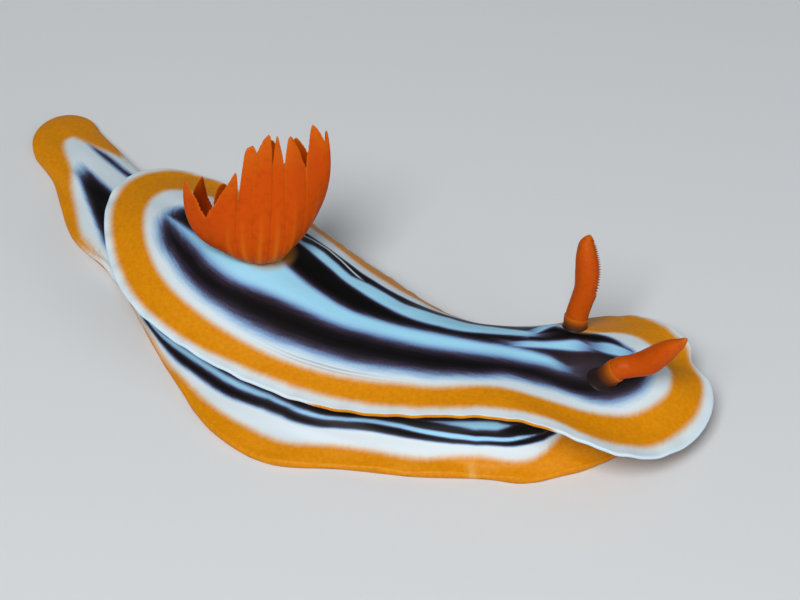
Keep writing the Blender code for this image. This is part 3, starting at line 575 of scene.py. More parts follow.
def blank(name):
    """A material with an empty node tree and its output."""
    material = bpy.data.materials.new(name)
    material.use_nodes = True
    material.node_tree.nodes.clear()
    return material, material.node_tree, add(material.node_tree, "ShaderNodeOutputMaterial")


# Moist slug skin: fine-grained and slightly see-through, with a thin film of mucus over it, which
# gives a soft sheen without hard highlights. The pigments lie in soft-edged bands, drawn out along
# the body, so each border is feathered.
moist_skin, tree, output = blank("moist_striped_skin")
coords = add(tree, "ShaderNodeTexCoord").outputs["Object"]
field = {
    name: add(tree, "ShaderNodeAttribute", attribute_name=name).outputs["Fac"] for name in fields
}
# Streaks that follow the body, about 0.4 mm wide and 2 mm long, rays of that size that run out
# across it, and a fine speckle of 0.15 mm, with how far each shifts a border in mm.
STREAKS_PER_MM, RAYS_PER_MM, SPECKLES_PER_M = (0.45, 2.4, 1.0), (2.6, 0.5, 1.0), 6500.0
STREAK, RAY, SPECKLE = 0.5, 0.24, 0.24
over_skin = add(tree, "ShaderNodeCombineXYZ", {"X": field["lengthways"], "Y": field["outward"]})
streaks, rays = (
    add(tree, "ShaderNodeTexNoise", {
        "Vector": add(tree, "ShaderNodeMapping", {"Vector": over_skin, "Scale": per_mm}),
        "Scale": 1.0,
        "Detail": 3.0,
    })
    for per_mm in (STREAKS_PER_MM, RAYS_PER_MM)
)
speckle = add(tree, "ShaderNodeTexNoise", {"Vector": coords, "Scale": SPECKLES_PER_M, "Detail": 2.0})
speckled = add(tree, "ShaderNodeMath", {0: speckle, 1: SPECKLE, 2: -SPECKLE / 2}, operation="MULTIPLY_ADD")
fine = add(tree, "ShaderNodeMath", {0: speckled, 1: -STREAK / 2}, operation="ADD")
streaked = add(tree, "ShaderNodeMath", {0: streaks, 1: STREAK, 2: fine}, operation="MULTIPLY_ADD")
fine = add(tree, "ShaderNodeMath", {0: speckled, 1: 0.5, 2: -RAY / 2}, operation="MULTIPLY_ADD")
rayed = add(tree, "ShaderNodeMath", {0: rays, 1: RAY, 2: fine}, operation="MULTIPLY_ADD")
# From white through blue-grey and violet to black, with no dark inside the light blue stripes.
off_blue = add(tree, "ShaderNodeMath", {0: field["blue"], 1: -1.0}, operation="MULTIPLY")
dark = add(tree, "ShaderNodeMath", {0: field["black"], 1: off_blue}, operation="MINIMUM")
dark = add(tree, "ShaderNodeMath", {0: dark, 1: streaked}, operation="ADD")
dark = add(tree, "ShaderNodeMapRange", {"Value": dark, "From Min": -0.9, "From Max": 1.6})
blacks = add(tree, "ShaderNodeValToRGB", {"Fac": dark}, stops=(
    (0.0, "#D4E1E8"), (0.16, "#AECBE0"), (0.33, "#7490B8"), (0.45, "#484860"), (0.58, "#2B2432"),
    (0.75, "#120F13"), (1.0, "#040304"),
))
# Fine grey lines, 0.34 mm apart, in the white along the near orange band.
GREY_HALF_PITCH = 0.17
greys = add(tree, "ShaderNodeMath", {0: field["grey_path"], 1: -0.1}, operation="ADD")
greys = add(tree, "ShaderNodeMath", {0: greys, 1: GREY_HALF_PITCH}, operation="PINGPONG")
greys = add(tree, "ShaderNodeMapRange", {
    "Value": greys, "From Min": GREY_HALF_PITCH, "From Max": 0.03, "To Max": 0.7})
grey_near = add(tree, "ShaderNodeMath", {0: field["grey_path"]}, operation="ABSOLUTE")
grey_near = add(tree, "ShaderNodeMapRange", {"Value": grey_near, "From Min": 0.45, "From Max": 0.2})
greys = add(tree, "ShaderNodeMath", {0: greys, 1: grey_near}, operation="MULTIPLY")
greys = add(tree, "ShaderNodeMath", {0: greys, 1: field["grey_shown"]}, operation="MULTIPLY")
violets = add(tree, "ShaderNodeMath", {0: field["violet"], 1: 0.7}, operation="MULTIPLY")
blues = add(tree, "ShaderNodeMath", {0: streaked, 1: 0.8, 2: field["blue"]}, operation="MULTIPLY_ADD")
blues = add(tree, "ShaderNodeMapRange", {"Value": blues, "From Min": -0.25, "From Max": 0.9})
blue_tones = add(tree, "ShaderNodeValToRGB", {"Fac": blues}, stops=(
    (0.0, "#4A78B8"), (0.3, "#68A8E0"), (0.6, "#84CAF0"), (1.0, "#A0DCF6"),
))
folds = add(tree, "ShaderNodeMath", {0: field["fold"]}, operation="ABSOLUTE")
folds = add(tree, "ShaderNodeMapRange", {"Value": folds, "From Min": 0.2, "From Max": 0.06},
            interpolation_type="SMOOTHSTEP")
folds = add(tree, "ShaderNodeMath", {0: folds, 1: field["fold_shown"]}, operation="MULTIPLY")
# The orange has a warm halo where it thins out into the white, and a grain of 0.4 mm.
in_orange = add(tree, "ShaderNodeMath", {0: field["orange"], 1: rayed}, operation="ADD")
halo = add(tree, "ShaderNodeMapRange", {
    "Value": in_orange, "From Min": -0.75, "From Max": 0.1, "To Max": 0.4,
}, interpolation_type="SMOOTHSTEP")
orange_share = add(tree, "ShaderNodeMapRange", {
    "Value": in_orange, "From Min": -0.45, "From Max": 0.4,
}, interpolation_type="SMOOTHSTEP")
orange_grain = add(tree, "ShaderNodeTexNoise", {
    "Vector": coords, "Scale": 2600.0, "Detail": 3.0, "Roughness": 0.6})
orange_tones = add(tree, "ShaderNodeValToRGB", {"Fac": orange_grain}, stops=(
    (0.3, "#CE7E00"), (0.7, "#DC8E02"),
))
ambers = add(tree, "ShaderNodeMath", {0: field["amber"], 1: 0.75}, operation="MULTIPLY")
glint = add(tree, "ShaderNodeMapRange", {
    "Value": field["from_edge"], "From Min": 0.5, "From Max": 0.05, "To Max": 0.5,
}, interpolation_type="SMOOTHSTEP")
# The colours lie over one another in this order, each where its share says.
colour = blacks.outputs["Color"]
for share, over in (
    (greys, linear("#98A0AC")),
    (violets, linear("#423A42")),
    (blues, blue_tones),
    (folds, linear("#B9CAD2")),
    (halo, linear("#DCB04C")),
    (orange_share, orange_tones),
    (ambers, linear("#A87838")),
    (field["pale_crease"], linear("#E0BC70")),
    (glint, linear("#C8E6F6")),
    (field["tucked"], linear("#A87430")),
):
    colour = add(tree, "ShaderNodeMix", {0: share, 6: colour, 7: over}, data_type="RGBA").outputs[2]
pores = add(tree, "ShaderNodeBump", {"Strength": 0.2, "Distance": 0.03 * MM, "Height": speckle})
shader = add(tree, "ShaderNodeBsdfPrincipled", {
    "Base Color": colour, "Normal": pores, "Roughness": 0.5, "IOR": 1.38, "Specular IOR Level": 0.22,
    "Subsurface Weight": 0.1, "Subsurface Radius": (1.0, 0.55, 0.35), "Subsurface Scale": 0.3 * MM,
    "Coat Weight": 0.04, "Coat Roughness": 0.3, "Coat IOR": 1.34,
})
tree.links.new(shader.outputs[0], output.inputs["Surface"])
skin.data.materials.append(moist_skin)
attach(skin, "root")
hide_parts("mantle_front", "mantle_middle", "mantle_rear", "torso_front", "torso_middle",
            "torso_rear", "foot_front", "foot_middle", "foot_rear", "head", "tail")

# The feelers: two clubs, each a stack of thin leaflets round a solid core on a short bare stalk.
# They are cast in orange silicone, deeper in tone than the skin, and plugged into it near its
# front; the left one stands up, and the right one leans ahead over the front of the mantle.
FEELERS = {
    # its root in s and n, its middle line as offsets from there in mm, where its teeth point, and
    # its radii in mm at the stations along that line
    "left": (12.2, -4.3, (
        (-0.75, 0.0, -0.3), (-0.62, 0.35, 1.0), (-0.2, 0.82, 2.5), (0.15, 1.17, 3.6), (0.28, 1.73, 5.3),
        (0.16, 2.3, 7.0), (0.14, 2.58, 7.85), (0.32, 2.85, 8.65)), (1, 0, 0),
        (1.1, 1.06, 1.06, 1.12, 1.2, 1.02, 0.78, 0.14)),
    "right": (9.9, 2.4, (
        (0.1, -0.2, -0.4), (0.75, -0.42, 1.3), (2.1, -0.5, 1.84), (3.16, -0.66, 2.36), (4.17, -1.0, 3.5),
        (5.25, -1.4, 4.9), (5.9, -1.58, 5.55), (6.45, -1.75, 6.3)), (0, 1, -0.6),
        (0.7, 1.0, 1.04, 1.16, 1.1, 0.8, 0.5, 0.12)),
}
FEELER_STATIONS = np.array([0, 0.14, 0.3, 0.42, 0.6, 0.8, 0.9, 1.0])
FEELER_ROWS, FEELER_SIDES, FEELER_TIP = 217, 48, 0.0352
LEAFLETS, LEAFLET_FROM, LEAFLET_TO, LEAFLET_SLANT = 23, 0.38, 0.94, 0.047
LEAFLET_DEPTH, LEAFLET_LEAST, LEAFLET_FADE = 0.36 * MM, 0.04, 0.3 * MM


def back_height(s, n):
    """Height of the plain back over a point of the plan."""
    low, high = (0.0, math.pi) if n > 0 else (2 * math.pi, math.pi)
    for _ in range(40):
        angle = np.array((low + high) / 2)
        s_edge, n_edge = rim(angle)
        ahead = (s - crest(angle)) * n_edge - n * (s_edge - crest(angle))
        if ahead * n > 0:
            low = float(angle)
        else:
            high = float(angle)
    return float(back(angle, n / n_edge)[2])


def on_skin(s, n):
    """The world point on the back at this place of the plan, given in mm."""
    height = back_height(s * MM, n * MM) + swelling(np.array(s), np.array(n))
    return place(np.array(s * MM), n * MM, height)


def unit(vectors):
    return vectors / np.linalg.norm(vectors, axis=-1, keepdims=True)


def line_through(stations, offsets, t):
    return np.stack([through(stations, offsets[:, axis], t) for axis in range(3)], -1)


def tip(t, share, spare=0.0001):
    """What is left of a finger's radius, as it ends round over the last share of its length."""
    return rounded(1 + spare - t, 0, share)


def close_ends(line, rows):
    """The rows with one more at each end, drawn together to the end of their line."""
    first, last = (np.repeat(line[end][None, None], rows.shape[1], 1) for end in (0, -1))
    return np.concatenate([first, rows, last])


def tube(line, radii, sides, toward):
    """Rings round a line, closed at both ends; the first point of each lies towards one side."""
    way = unit(np.gradient(line, axis=0))
    toward = np.array(toward, float)
    first = unit(toward - way * (way @ toward)[:, None])
    second = np.cross(way, first)
    turns = np.linspace(0, 2 * math.pi, sides + 1)
    out = first[:, None] * np.cos(turns)[:, None] + second[:, None] * np.sin(turns)[:, None]
    return close_ends(line, line[:, None] + out * radii[..., None])


def along_rows(t, columns):
    """The share of the way along, at every point of rows that are closed at both ends."""
    return np.concatenate([[0], np.clip(t, 0, 1), [1]])[:, None] * np.ones(columns)


# Soft orange flesh, cast in silicone: dull, mottled with darker patches of 0.5 mm, and paler at its
# root and tip, where light passes through it.
FEELER_MOTTLES_PER_M = 2200.0
feeler_rubber, tree, output = blank("orange_feeler_flesh")
coords = add(tree, "ShaderNodeTexCoord").outputs["Object"]
mottle = add(tree, "ShaderNodeTexNoise", {
    "Vector": coords, "Scale": FEELER_MOTTLES_PER_M, "Detail": 3.0})
patches = add(tree, "ShaderNodeMapRange", {
    "Value": mottle, "From Min": 0.5, "From Max": 0.75, "To Max": 0.5})
height = add(tree, "ShaderNodeAttribute", attribute_name="along").outputs["Fac"]
tones = add(tree, "ShaderNodeValToRGB", {"Fac": height}, stops=(
    (0.0, "#B06008"), (0.2, "#BC4C00"), (0.75, "#BE4C00"), (0.95, "#C05400"), (1.0, "#C4640C"),
))
deeper = add(tree, "ShaderNodeMix", {0: patches, 6: tones, 7: linear("#A43C00")}, data_type="RGBA")
shader = add(tree, "ShaderNodeBsdfPrincipled", {
    "Base Color": deeper.outputs[2], "Roughness": 0.5, "IOR": 1.4, "Specular IOR Level": 0.14,
    "Subsurface Weight": 0.15, "Subsurface Radius": (1.0, 0.3, 0.05), "Subsurface Scale": 0.5 * MM,
    "Coat Weight": 0.05, "Coat Roughness": 0.3, "Coat IOR": 1.34,
})
tree.links.new(shader.outputs[0], output.inputs["Surface"])

feeler_lines = {}
for side, (s0, n0, offsets, teeth, radii) in FEELERS.items():
    t = np.linspace(0, 1, FEELER_ROWS)
    middle = on_skin(s0, n0) + line_through(FEELER_STATIONS, np.array(offsets) * MM, t)
    feeler_lines[side] = middle
    radii = through(FEELER_STATIONS, np.array(radii) * MM, t) * tip(t, FEELER_TIP, spare=0.0002)
    turns = np.linspace(0, 2 * math.pi, FEELER_SIDES + 1)
    phase = t[:, None] + LEAFLET_SLANT * np.sin(turns) - LEAFLET_FROM
    phase = phase / (LEAFLET_TO - LEAFLET_FROM) * LEAFLETS
    tooth = np.where((phase > 0) & (phase < LEAFLETS), 1 - np.abs(2 * np.mod(phase, 1) - 1), 1)
    toward_teeth = ((1 + np.cos(turns)) / 2) ** 5
    depth = LEAFLET_DEPTH * (LEAFLET_LEAST + (1 - LEAFLET_LEAST) * toward_teeth)
    ringed = radii[:, None] - depth * (1 - tooth) * smooth(radii / LEAFLET_FADE)[:, None]
    bm = bmesh.new()
    lay_sheet(bm, tube(middle, ringed, FEELER_SIDES, teeth), {"along": along_rows(t, len(turns))})
    feeler = make_piece("feeler_" + side, bm)
    feeler.data.materials.append(feeler_rubber)
    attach(feeler, "root")
    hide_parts("rhinophore_" + side)

# The sheaths: low collars of thin skin that the feelers draw back into when the animal is touched.
# Each rises from the dark back with a flare, turns amber and clear, and ends in a crinkled lip.
SHEATH_WALL, SHEATH_DEPTH, SHEATH_SUNK = 0.16 * MM, 0.75 * MM, 0.06 * MM
SHEATHS = {
    # in mm: middle and radius of its foot on the back; the share of the feeler's line where its lip
    # is; in mm again: the lip's radius, and how strongly the lip is crinkled
    "left": (12.85, -4.2, 1.95, 0.13, 1.14, 0.01),
    "right": (10.3, 2.45, 1.8, 0.13, 1.08, 0.02),
}
FLARE_ROWS, LIP_ROWS, INSIDE_ROWS, COLLAR_COLUMNS = 26, 8, 10, 73

# Thin skin over dark flesh: near black where it leaves the back, and amber where it stands free and
# light comes through it.
thin_amber, tree, output = blank("thin_amber_skin")
height = add(tree, "ShaderNodeAttribute", attribute_name="up").outputs["Fac"]
tones = add(tree, "ShaderNodeValToRGB", {"Fac": height}, stops=(
    (0.0, "#1C151B"), (0.5, "#2C1C1A"), (0.75, "#6E380C"), (0.93, "#A85206"), (1.0, "#B85A06"),
))
shader = add(tree, "ShaderNodeBsdfPrincipled", {
    "Base Color": tones, "Roughness": 0.5, "IOR": 1.4, "Specular IOR Level": 0.2,
    "Subsurface Weight": 0.15, "Subsurface Radius": (1.0, 0.5, 0.15), "Subsurface Scale": 0.4 * MM,
    "Coat Weight": 0.05, "Coat Roughness": 0.3, "Coat IOR": 1.34,
})
tree.links.new(shader.outputs[0], output.inputs["Surface"])


def flared_collar(foot, lip, axis, wall, depth, crinkle):
    """Rows of a collar that leaves the skin in a flare, rounds over its lip and runs back inside."""
    middle = lip[:-1].mean(0)
    inward = foot + 0.5 * (foot.mean(0) - foot)
    below = lip - axis * np.linalg.norm(lip - foot, axis=1).mean() * 0.45
    rows, shares = [], []
    for t in np.linspace(0, 1, FLARE_ROWS):
        lower = foot * (1 - t) ** 3 + inward * 3 * t * (1 - t) ** 2
        rows.append(lower + below * 3 * t * t * (1 - t) + lip * t**3)
        shares.append(t)
    to_middle = unit(middle - lip)
    for turn in np.linspace(0, math.pi, LIP_ROWS)[1:]:
        over = to_middle * (1 - math.cos(turn)) / 2 + axis * 0.5 * math.sin(turn)
        rows.append(lip + wall * over)
        shares.append(1)
    for t in np.linspace(0, 1, INSIDE_ROWS)[1:]:
        rows.append(lip + to_middle * wall - axis * depth * t)
        shares.append(1 - 0.5 * t)
    rows, shares = np.array(rows), np.array(shares)
    turns = np.linspace(0, 2 * math.pi, rows.shape[1])
    waves = 0.6 * np.sin(6 * turns + 1) + 0.4 * np.sin(11 * turns)
    rows += axis * (crinkle * smooth((shares - 0.3) / 0.7)[:, None] * waves)[..., None]
    return rows, shares[:, None] * np.ones(len(turns))


for side, (s0, n0, foot_radius, lip_share, lip_radius, crinkle) in SHEATHS.items():
    middle = feeler_lines[side]
    stations = np.linspace(0, 1, len(middle))
    mouth, beyond = (
        np.array([np.interp(share, stations, middle[:, k]) for k in range(3)])
        for share in (lip_share, lip_share + 0.05)
    )
    axis = unit(beyond - mouth)
    turns = np.linspace(0, 2 * math.pi, COLLAR_COLUMNS)
    foot = np.array([
        on_skin(s0 + foot_radius * math.cos(a), n0 + foot_radius * math.sin(a)) for a in turns
    ])
    foot[:, 2] -= SHEATH_SUNK
    rearward = np.array([-1, 0, 0.6])
    rearward = unit(rearward - axis * (rearward @ axis))
    rightward = np.cross(axis, rearward)
    out = rearward * np.cos(turns)[:, None] + rightward * np.sin(turns)[:, None]
    lip = mouth + out * lip_radius * MM
    rows, up = flared_collar(foot, lip, axis, SHEATH_WALL, SHEATH_DEPTH, crinkle * MM)
    bm = bmesh.new()
    lay_sheet(bm, rows, {"up": up})
    sheath = make_piece("sheath_" + side, bm)
    sheath.data.materials.append(thin_amber)
    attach(sheath, "root")
    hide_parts("rhinophore_sheath_" + side)

# The gill: a plume of pointed leaves in a bowl, rooted round a short stalk on the rear back.
# Each leaf is a thin blade with a soft midrib and fine cross-folds on both faces. The leaves are
# cast in deep orange silicone, joined edge to edge low down and parted towards their tips.
GILL_S, GILL_N = 45.8, -2.2
LEAVES = np.array([
    # in mm from the middle of the ring: the point each leaf first heads for and its tip; then the
    # share of its length where it parts from the next leaf round, and how slender its end is
    (-4.4, -4.6, 0.2, -2.05, -1.0, 9.8, 0.78, 0.75),
    (-2.4, -5.6, 0.0, -1.0, 0.5, 11.4, 0.95, 0.35),
    (-0.4, -6.0, -0.2, 1.0, 1.0, 12.6, 0.88, 0.5),
    (2.0, -5.8, 0.0, 1.75, 1.2, 12.3, 0.88, 0.6),
    (4.2, -4.8, 1.0, 2.9, 1.4, 12.1, 0.82, 0.55),
    (6.6, -2.2, 2.6, 4.9, 2.6, 12.5, 0.92, 0.6),
    (7.5, 1.4, 3.4, 6.1, 2.2, 12.1, 0.6, 0.6),
    (4.0, 4.6, 2.6, 3.2, 4.6, 9.4, 0.7, 0.6),
    (0.6, 5.6, 2.0, 0.9, 4.4, 9.2, 0.6, 0.6),
    (-2.2, 5.2, 1.0, -1.4, 3.8, 4.0, 0.6, 0.6),
    (-4.4, 3.4, 0.8, -3.5, 2.8, 5.4, 0.6, 0.5),
    (-6.6, 1.4, 0.6, -5.3, 1.4, 7.4, 0.72, 0.65),
    (-7.8, -1.4, 0.4, -6.6, -1.0, 8.9, 0.72, 0.65),
])
HEADING, TIP = slice(0, 3), slice(3, 6)
PARTED_COLUMN, SLENDER_COLUMN = 6, 7
LEAF_ROOT_RADIUS, LEAF_STEP, LEAF_LAP = 1.1 * MM, 0.03 * MM, 0.53
LEAF_ROWS, LEAF_COLUMNS = 141, 37
BLADE, MIDRIB, MIDRIB_WIDTH, LEAST_BLADE = 0.13 * MM, 0.18 * MM, 0.4 * MM, 0.02 * MM
FOLD_PITCH, FOLD_DEPTH, FOLD_SLANT = 0.3 * MM, 0.035 * MM, 0.45
NICK, FINE_NICK_PITCH, WIDE_NICK_PITCH = 0.03, 0.42 * MM, 1.9 * MM
STALK_FROM, STALK_HEIGHT, STALK_RADIUS, STALK_ROUND = -0.6 * MM, 2.2 * MM, 1.45 * MM, 0.4001
STALK_ROWS, STALK_SIDES = 12, 40

# Deep orange flesh: dull and mottled with darker patches of 0.7 mm, amber at the root, and paler at
# the tips, where it is thin, with a painted highlight along the midribs and a painted bright edge
# along the margins near the tips.
GILL_MOTTLES_PER_M = 1500.0
gill_flesh, tree, output = blank("deep_orange_gill_flesh")
coords = add(tree, "ShaderNodeTexCoord").outputs["Object"]
mottle = add(tree, "ShaderNodeTexNoise", {
    "Vector": coords, "Scale": GILL_MOTTLES_PER_M, "Detail": 3.0})
patches = add(tree, "ShaderNodeMapRange", {
    "Value": mottle, "From Min": 0.5, "From Max": 0.75, "To Max": 0.5})
height = add(tree, "ShaderNodeAttribute", attribute_name="along").outputs["Fac"]
painted_highlight = add(tree, "ShaderNodeAttribute", attribute_name="painted_highlight").outputs["Fac"]
tones = add(tree, "ShaderNodeValToRGB", {"Fac": height}, stops=(
    (0.0, "#C87400"), (0.12, "#CC5A00"), (0.35, "#C44A00"), (0.85, "#C24800"), (1.0, "#C45C04"),
))
colour = tones.outputs["Color"]
for share, over in ((patches, linear("#A83800")), (painted_highlight, linear("#D0700C"))):
    colour = add(tree, "ShaderNodeMix", {0: share, 6: colour, 7: over}, data_type="RGBA").outputs[2]
shader = add(tree, "ShaderNodeBsdfPrincipled", {
    "Base Color": colour, "Roughness": 0.5, "IOR": 1.4, "Specular IOR Level": 0.1,
    "Subsurface Weight": 0.2, "Subsurface Radius": (1.0, 0.3, 0.05), "Subsurface Scale": 0.5 * MM,
    "Coat Weight": 0.04, "Coat Roughness": 0.3, "Coat IOR": 1.34,
})
tree.links.new(shader.outputs[0], output.inputs["Surface"])

bm = bmesh.new()
middle = on_skin(GILL_S, GILL_N)
count = len(LEAVES)
at_leaf = np.arange(count) * 2 * math.pi / count


def bowl(leaf, t):
    """A point of the surface that the leaves share: leaf counts them round, t runs up to the tips."""
    turn = leaf * 2 * math.pi / count
    heading, end = (
        np.stack([around(column, turn, at_leaf) for column in LEAVES[:, own].T], -1)
        for own in (HEADING, TIP)
    )
    root = unit(heading * (1, 1, 0)) * LEAF_ROOT_RADIUS
    t = t[..., None]
    return middle + root * (1 - t) ** 2 + (heading * 2 * t * (1 - t) + end * t * t) * MM


t = np.linspace(0, 1, LEAF_ROWS)
turns = np.linspace(0, 2 * math.pi, LEAF_COLUMNS)
up_leaf = t[:, None] * np.ones(len(turns))
STEP = 0.004
for leaf in range(count):
    spine = bowl(np.full_like(t, leaf), t)
    run_along = np.concatenate([[0], np.cumsum(np.linalg.norm(np.diff(spine, axis=0), axis=1))])
    nicks = NICK * np.sin(run_along / FINE_NICK_PITCH * 2 * math.pi)
    nicks += NICK * np.sin(run_along / WIDE_NICK_PITCH * 2 * math.pi + leaf)
    slender = LEAVES[leaf, SLENDER_COLUMN]
    shares = []
    for parted in (LEAVES[leaf, PARTED_COLUMN], LEAVES[leaf - 1, PARTED_COLUMN]):
        drawn = np.clip((t - parted) / (1 - parted), 0, 1)
        shares.append(LEAF_LAP * (1 - drawn) ** slender * (1 + nicks * smooth(drawn * 4)))
    x = np.cos(turns) * np.where(np.cos(turns) > 0, shares[0][:, None], shares[1][:, None])
    across = (bowl(leaf + x + STEP, up_leaf) - bowl(leaf + x - STEP, up_leaf)) / (2 * STEP)
    upward = bowl(leaf + x, up_leaf + STEP) - bowl(leaf + x, up_leaf - STEP)
    facing = unit(np.cross(across, upward))
    from_midrib = np.abs(x) * np.linalg.norm(across, axis=2)
    half_width = np.min(shares, axis=0) * np.linalg.norm(across[:, 0], axis=1)
    lens = BLADE + (MIDRIB - BLADE) * np.exp(-((from_midrib / MIDRIB_WIDTH) ** 2))
    lens = np.minimum(lens * (1 - 0.5 * up_leaf), half_width[:, None] + LEAST_BLADE)
    fold = np.sin((run_along[:, None] - FOLD_SLANT * from_midrib) / FOLD_PITCH * 2 * math.pi)
    off_edge = np.abs(np.sin(turns))
    clear = smooth((from_midrib / MIDRIB_WIDTH - 0.6) / 1.2) * off_edge**0.5
    y = np.sign(np.sin(turns)) * off_edge**0.7 * (lens + FOLD_DEPTH * fold * clear)
    blade = bowl(leaf + x, up_leaf) + facing * (y + LEAF_STEP * (leaf % 3))[..., None]
    # Painted highlight along each midrib, and a painted bright edge on the margins towards the tip.
    highlight_share = 0.8 * np.exp(-((from_midrib / (0.5 * MIDRIB_WIDTH)) ** 2))
    highlight_share = highlight_share * smooth(up_leaf / 0.1) * smooth((0.8 - up_leaf) / 0.5)
    bright_edge = smooth((np.abs(np.cos(turns)) - 0.85) / 0.15) * smooth((up_leaf - 0.6) / 0.3)
    highlight_share = np.maximum(highlight_share, 0.5 * bright_edge)
    highlight_share = np.concatenate([highlight_share[:1], highlight_share, highlight_share[-1:]])
    lay_sheet(bm, close_ends(spine, blade), {"along": along_rows(t, len(turns)), "painted_highlight": highlight_share})
t = np.linspace(0, 1, STALK_ROWS)
stalk_line = middle + np.array([0, 0, 1.0]) * (STALK_FROM + STALK_HEIGHT * t)[:, None]
stalk_radii = STALK_RADIUS * tip(t, STALK_ROUND)[:, None]
rings = tube(stalk_line, stalk_radii, STALK_SIDES, (1, 0, 0))
lay_sheet(bm, rings, {"along": np.zeros(rings.shape[:2]), "painted_highlight": np.zeros(rings.shape[:2])})
gill = make_piece("gill_plume", bm)
gill.data.materials.append(gill_flesh)
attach(gill, "root")
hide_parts("gill_plume")

# The gill's collar: the low amber rim of skin that the plume stands in.
# It is the same clear skin as the feelers' sheaths, moulded on and faded into the back.
COLLAR_FOOT, COLLAR_LIP, COLLAR_SUNK, COLLAR_HEIGHT = 2.9, 2.2, -0.05 * MM, 0.42 * MM
COLLAR_WALL, COLLAR_DEPTH, COLLAR_CRINKLE = 0.3 * MM, 0.5 * MM, 0.04 * MM
GILL_COLLAR_COLUMNS = 97
turns = np.linspace(0, 2 * math.pi, GILL_COLLAR_COLUMNS)
rings = []
for radius, height in ((COLLAR_FOOT, COLLAR_SUNK), (COLLAR_LIP, COLLAR_HEIGHT)):
    ring = [on_skin(COLLAR_S + radius * math.cos(a), COLLAR_N + radius * math.sin(a)) for a in turns]
    rings.append(np.array(ring) + np.array([0, 0, height]))
rows, up = flared_collar(
    *rings, np.array([0, 0, 1.0]), COLLAR_WALL, COLLAR_DEPTH, COLLAR_CRINKLE
)
# Clear skin over amber flesh: wetter and glossier than the rest, because it is stretched tight.
clear_amber, tree, output = blank("clear_amber_skin")
height = add(tree, "ShaderNodeAttribute", attribute_name="up").outputs["Fac"]
tones = add(tree, "ShaderNodeValToRGB", {"Fac": height}, stops=(
    (0.0, "#A07840"), (0.5, "#B07A28"), (1.0, "#C48420"),
))
shader = add(tree, "ShaderNodeBsdfPrincipled", {
    "Base Color": tones, "Roughness": 0.35, "IOR": 1.4,
    "Subsurface Weight": 0.3, "Subsurface Radius": (1.0, 0.5, 0.15), "Subsurface Scale": 0.5 * MM,
    "Coat Weight": 0.3, "Coat Roughness": 0.2, "Coat IOR": 1.34,
})
tree.links.new(shader.outputs[0], output.inputs["Surface"])
bm = bmesh.new()
lay_sheet(bm, rows, {"up": up})
collar = make_piece("gill_collar", bm)
collar.data.materials.append(clear_amber)
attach(collar, "root")
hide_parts("gill_sheath")

# The mouth feelers: two short fingers beside the mouth, under the front of the mantle.
# They are soft orange flesh, ringed with faint folds and set on the sides of the snout.
TENTACLE_LENGTH, TENTACLE_RADIUS, TENTACLE_ROUND = 2.4 * MM, 0.5 * MM, math.radians(20)
TENTACLE_TAPER, TENTACLE_TIP, TENTACLE_FOLD = 0.35, 0.1501, 0.05
TENTACLE_ROWS, TENTACLE_SIDES, TENTACLE_SUNK = 40, 24, 0.12
SNOUT_SIDE, SNOUT_STEP = 0.5, 0.02
for side, sign in (("right", 1), ("left", -1)):
    at = sign * TENTACLE_ROUND % (2 * math.pi)
    spots = place(*flank(
        np.array([at, at + SNOUT_STEP, at]),
        np.array([SNOUT_SIDE, SNOUT_SIDE, SNOUT_SIDE + SNOUT_STEP]),
    ))
    outward = unit(np.cross(spots[1] - spots[0], spots[2] - spots[0]))
    outward *= np.sign(outward[0])
    axis = unit(outward + np.array([0.3, 0, -0.5]))
    t = np.linspace(-TENTACLE_SUNK, 1, TENTACLE_ROWS)
    line = spots[0] + outward * 0.25 * MM + axis * TENTACLE_LENGTH * t[:, None]
    radii = TENTACLE_RADIUS * (1 - TENTACLE_TAPER * np.clip(t, 0, 1)) * tip(t, TENTACLE_TIP)
    radii *= 1 + TENTACLE_FOLD * np.sin(t * 40)
    rings = tube(line, radii[:, None], TENTACLE_SIDES, (0, 0, 1))
    bm = bmesh.new()
    lay_sheet(bm, rings, {"along": along_rows(t, rings.shape[1])})
    tentacle = make_piece("mouth_feeler_" + side, bm)
    tentacle.data.materials.append(feeler_rubber)
    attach(tentacle, "root")
    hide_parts("oral_tentacle_" + side)

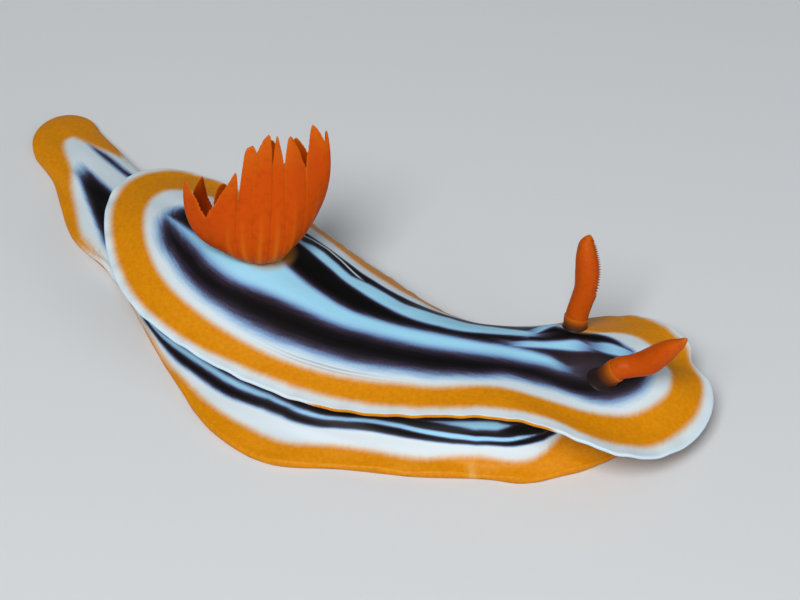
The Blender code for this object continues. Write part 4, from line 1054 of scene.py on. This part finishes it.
# The ground that the model is shown on: a plain pale board, far wider than the view.
# It is matt painted wood, so it takes the shadow and shows no grain.
FLOOR_SIZE = 3.0
bm = bmesh.new()
bmesh.ops.create_grid(bm, x_segments=8, y_segments=8, size=FLOOR_SIZE / 2)
floor_mesh = bpy.data.meshes.new("floor")
bm.to_mesh(floor_mesh)
bm.free()
floor = bpy.data.objects.new("floor", floor_mesh)
bpy.context.scene.collection.objects.link(floor)
matt_paint, tree, output = blank("matt_pale_paint")
shader = add(tree, "ShaderNodeBsdfPrincipled", {
    "Base Color": linear("#DADDDF"), "Roughness": 0.8, "IOR": 1.5})
tree.links.new(shader.outputs[0], output.inputs["Surface"])
floor.data.materials.append(matt_paint)

# Soft studio light: a broad key from the front left, a weaker fill, and an even pale surround.
# Each lamp is a flat square diffuser that faces the middle of the model.
LAMPS = (
    # its name, its place and its width in metres, and its watts
    ("key", (-0.08, -0.3, 0.4), 0.2, 2.05),
    ("fill", (0.34, -0.3, 0.22), 0.3, 0.5),
)
SURROUND_COLOUR, SURROUND_STRENGTH = "#DCE3EA", 0.19
for name, spot, size, watts in LAMPS:
    lamp = bpy.data.lights.new(name, "AREA")
    lamp.shape = "SQUARE"
    lamp.size = size
    lamp.energy = watts
    holder = bpy.data.objects.new(name, lamp)
    holder.location = spot
    holder.rotation_euler = (-Vector(spot)).to_track_quat("-Z", "Y").to_euler()
    bpy.context.scene.collection.objects.link(holder)
surround = bpy.data.worlds.new("surround")
surround.use_nodes = True
background = surround.node_tree.nodes["Background"]
background.inputs["Color"].default_value = linear(SURROUND_COLOUR)
background.inputs["Strength"].default_value = SURROUND_STRENGTH
bpy.context.scene.world = surround
bpy.context.scene.view_settings.view_transform = "Standard"

# The camera looks down on the right flank, as the photograph does, from 217 mm away.
# A 100 mm lens on a 36 mm wide sensor gives its framing.
LENS, SENSOR, DISTANCE, ELEVATION = 100.0, 36.0, 217 * MM, math.radians(42)
AIM = Vector((FRONT_X - 28.6 * MM, FRONT_Y + 16.7 * MM, 0))
view = bpy.data.cameras.new("camera")
view.lens = LENS
view.sensor_width = SENSOR
view.clip_start = 10 * MM
camera = bpy.data.objects.new("camera", view)
camera.location = AIM + DISTANCE * Vector((0, -math.cos(ELEVATION), math.sin(ELEVATION)))
camera.rotation_euler = (math.pi / 2 - ELEVATION, 0, 0)
bpy.context.scene.collection.objects.link(camera)
bpy.context.scene.camera = camera
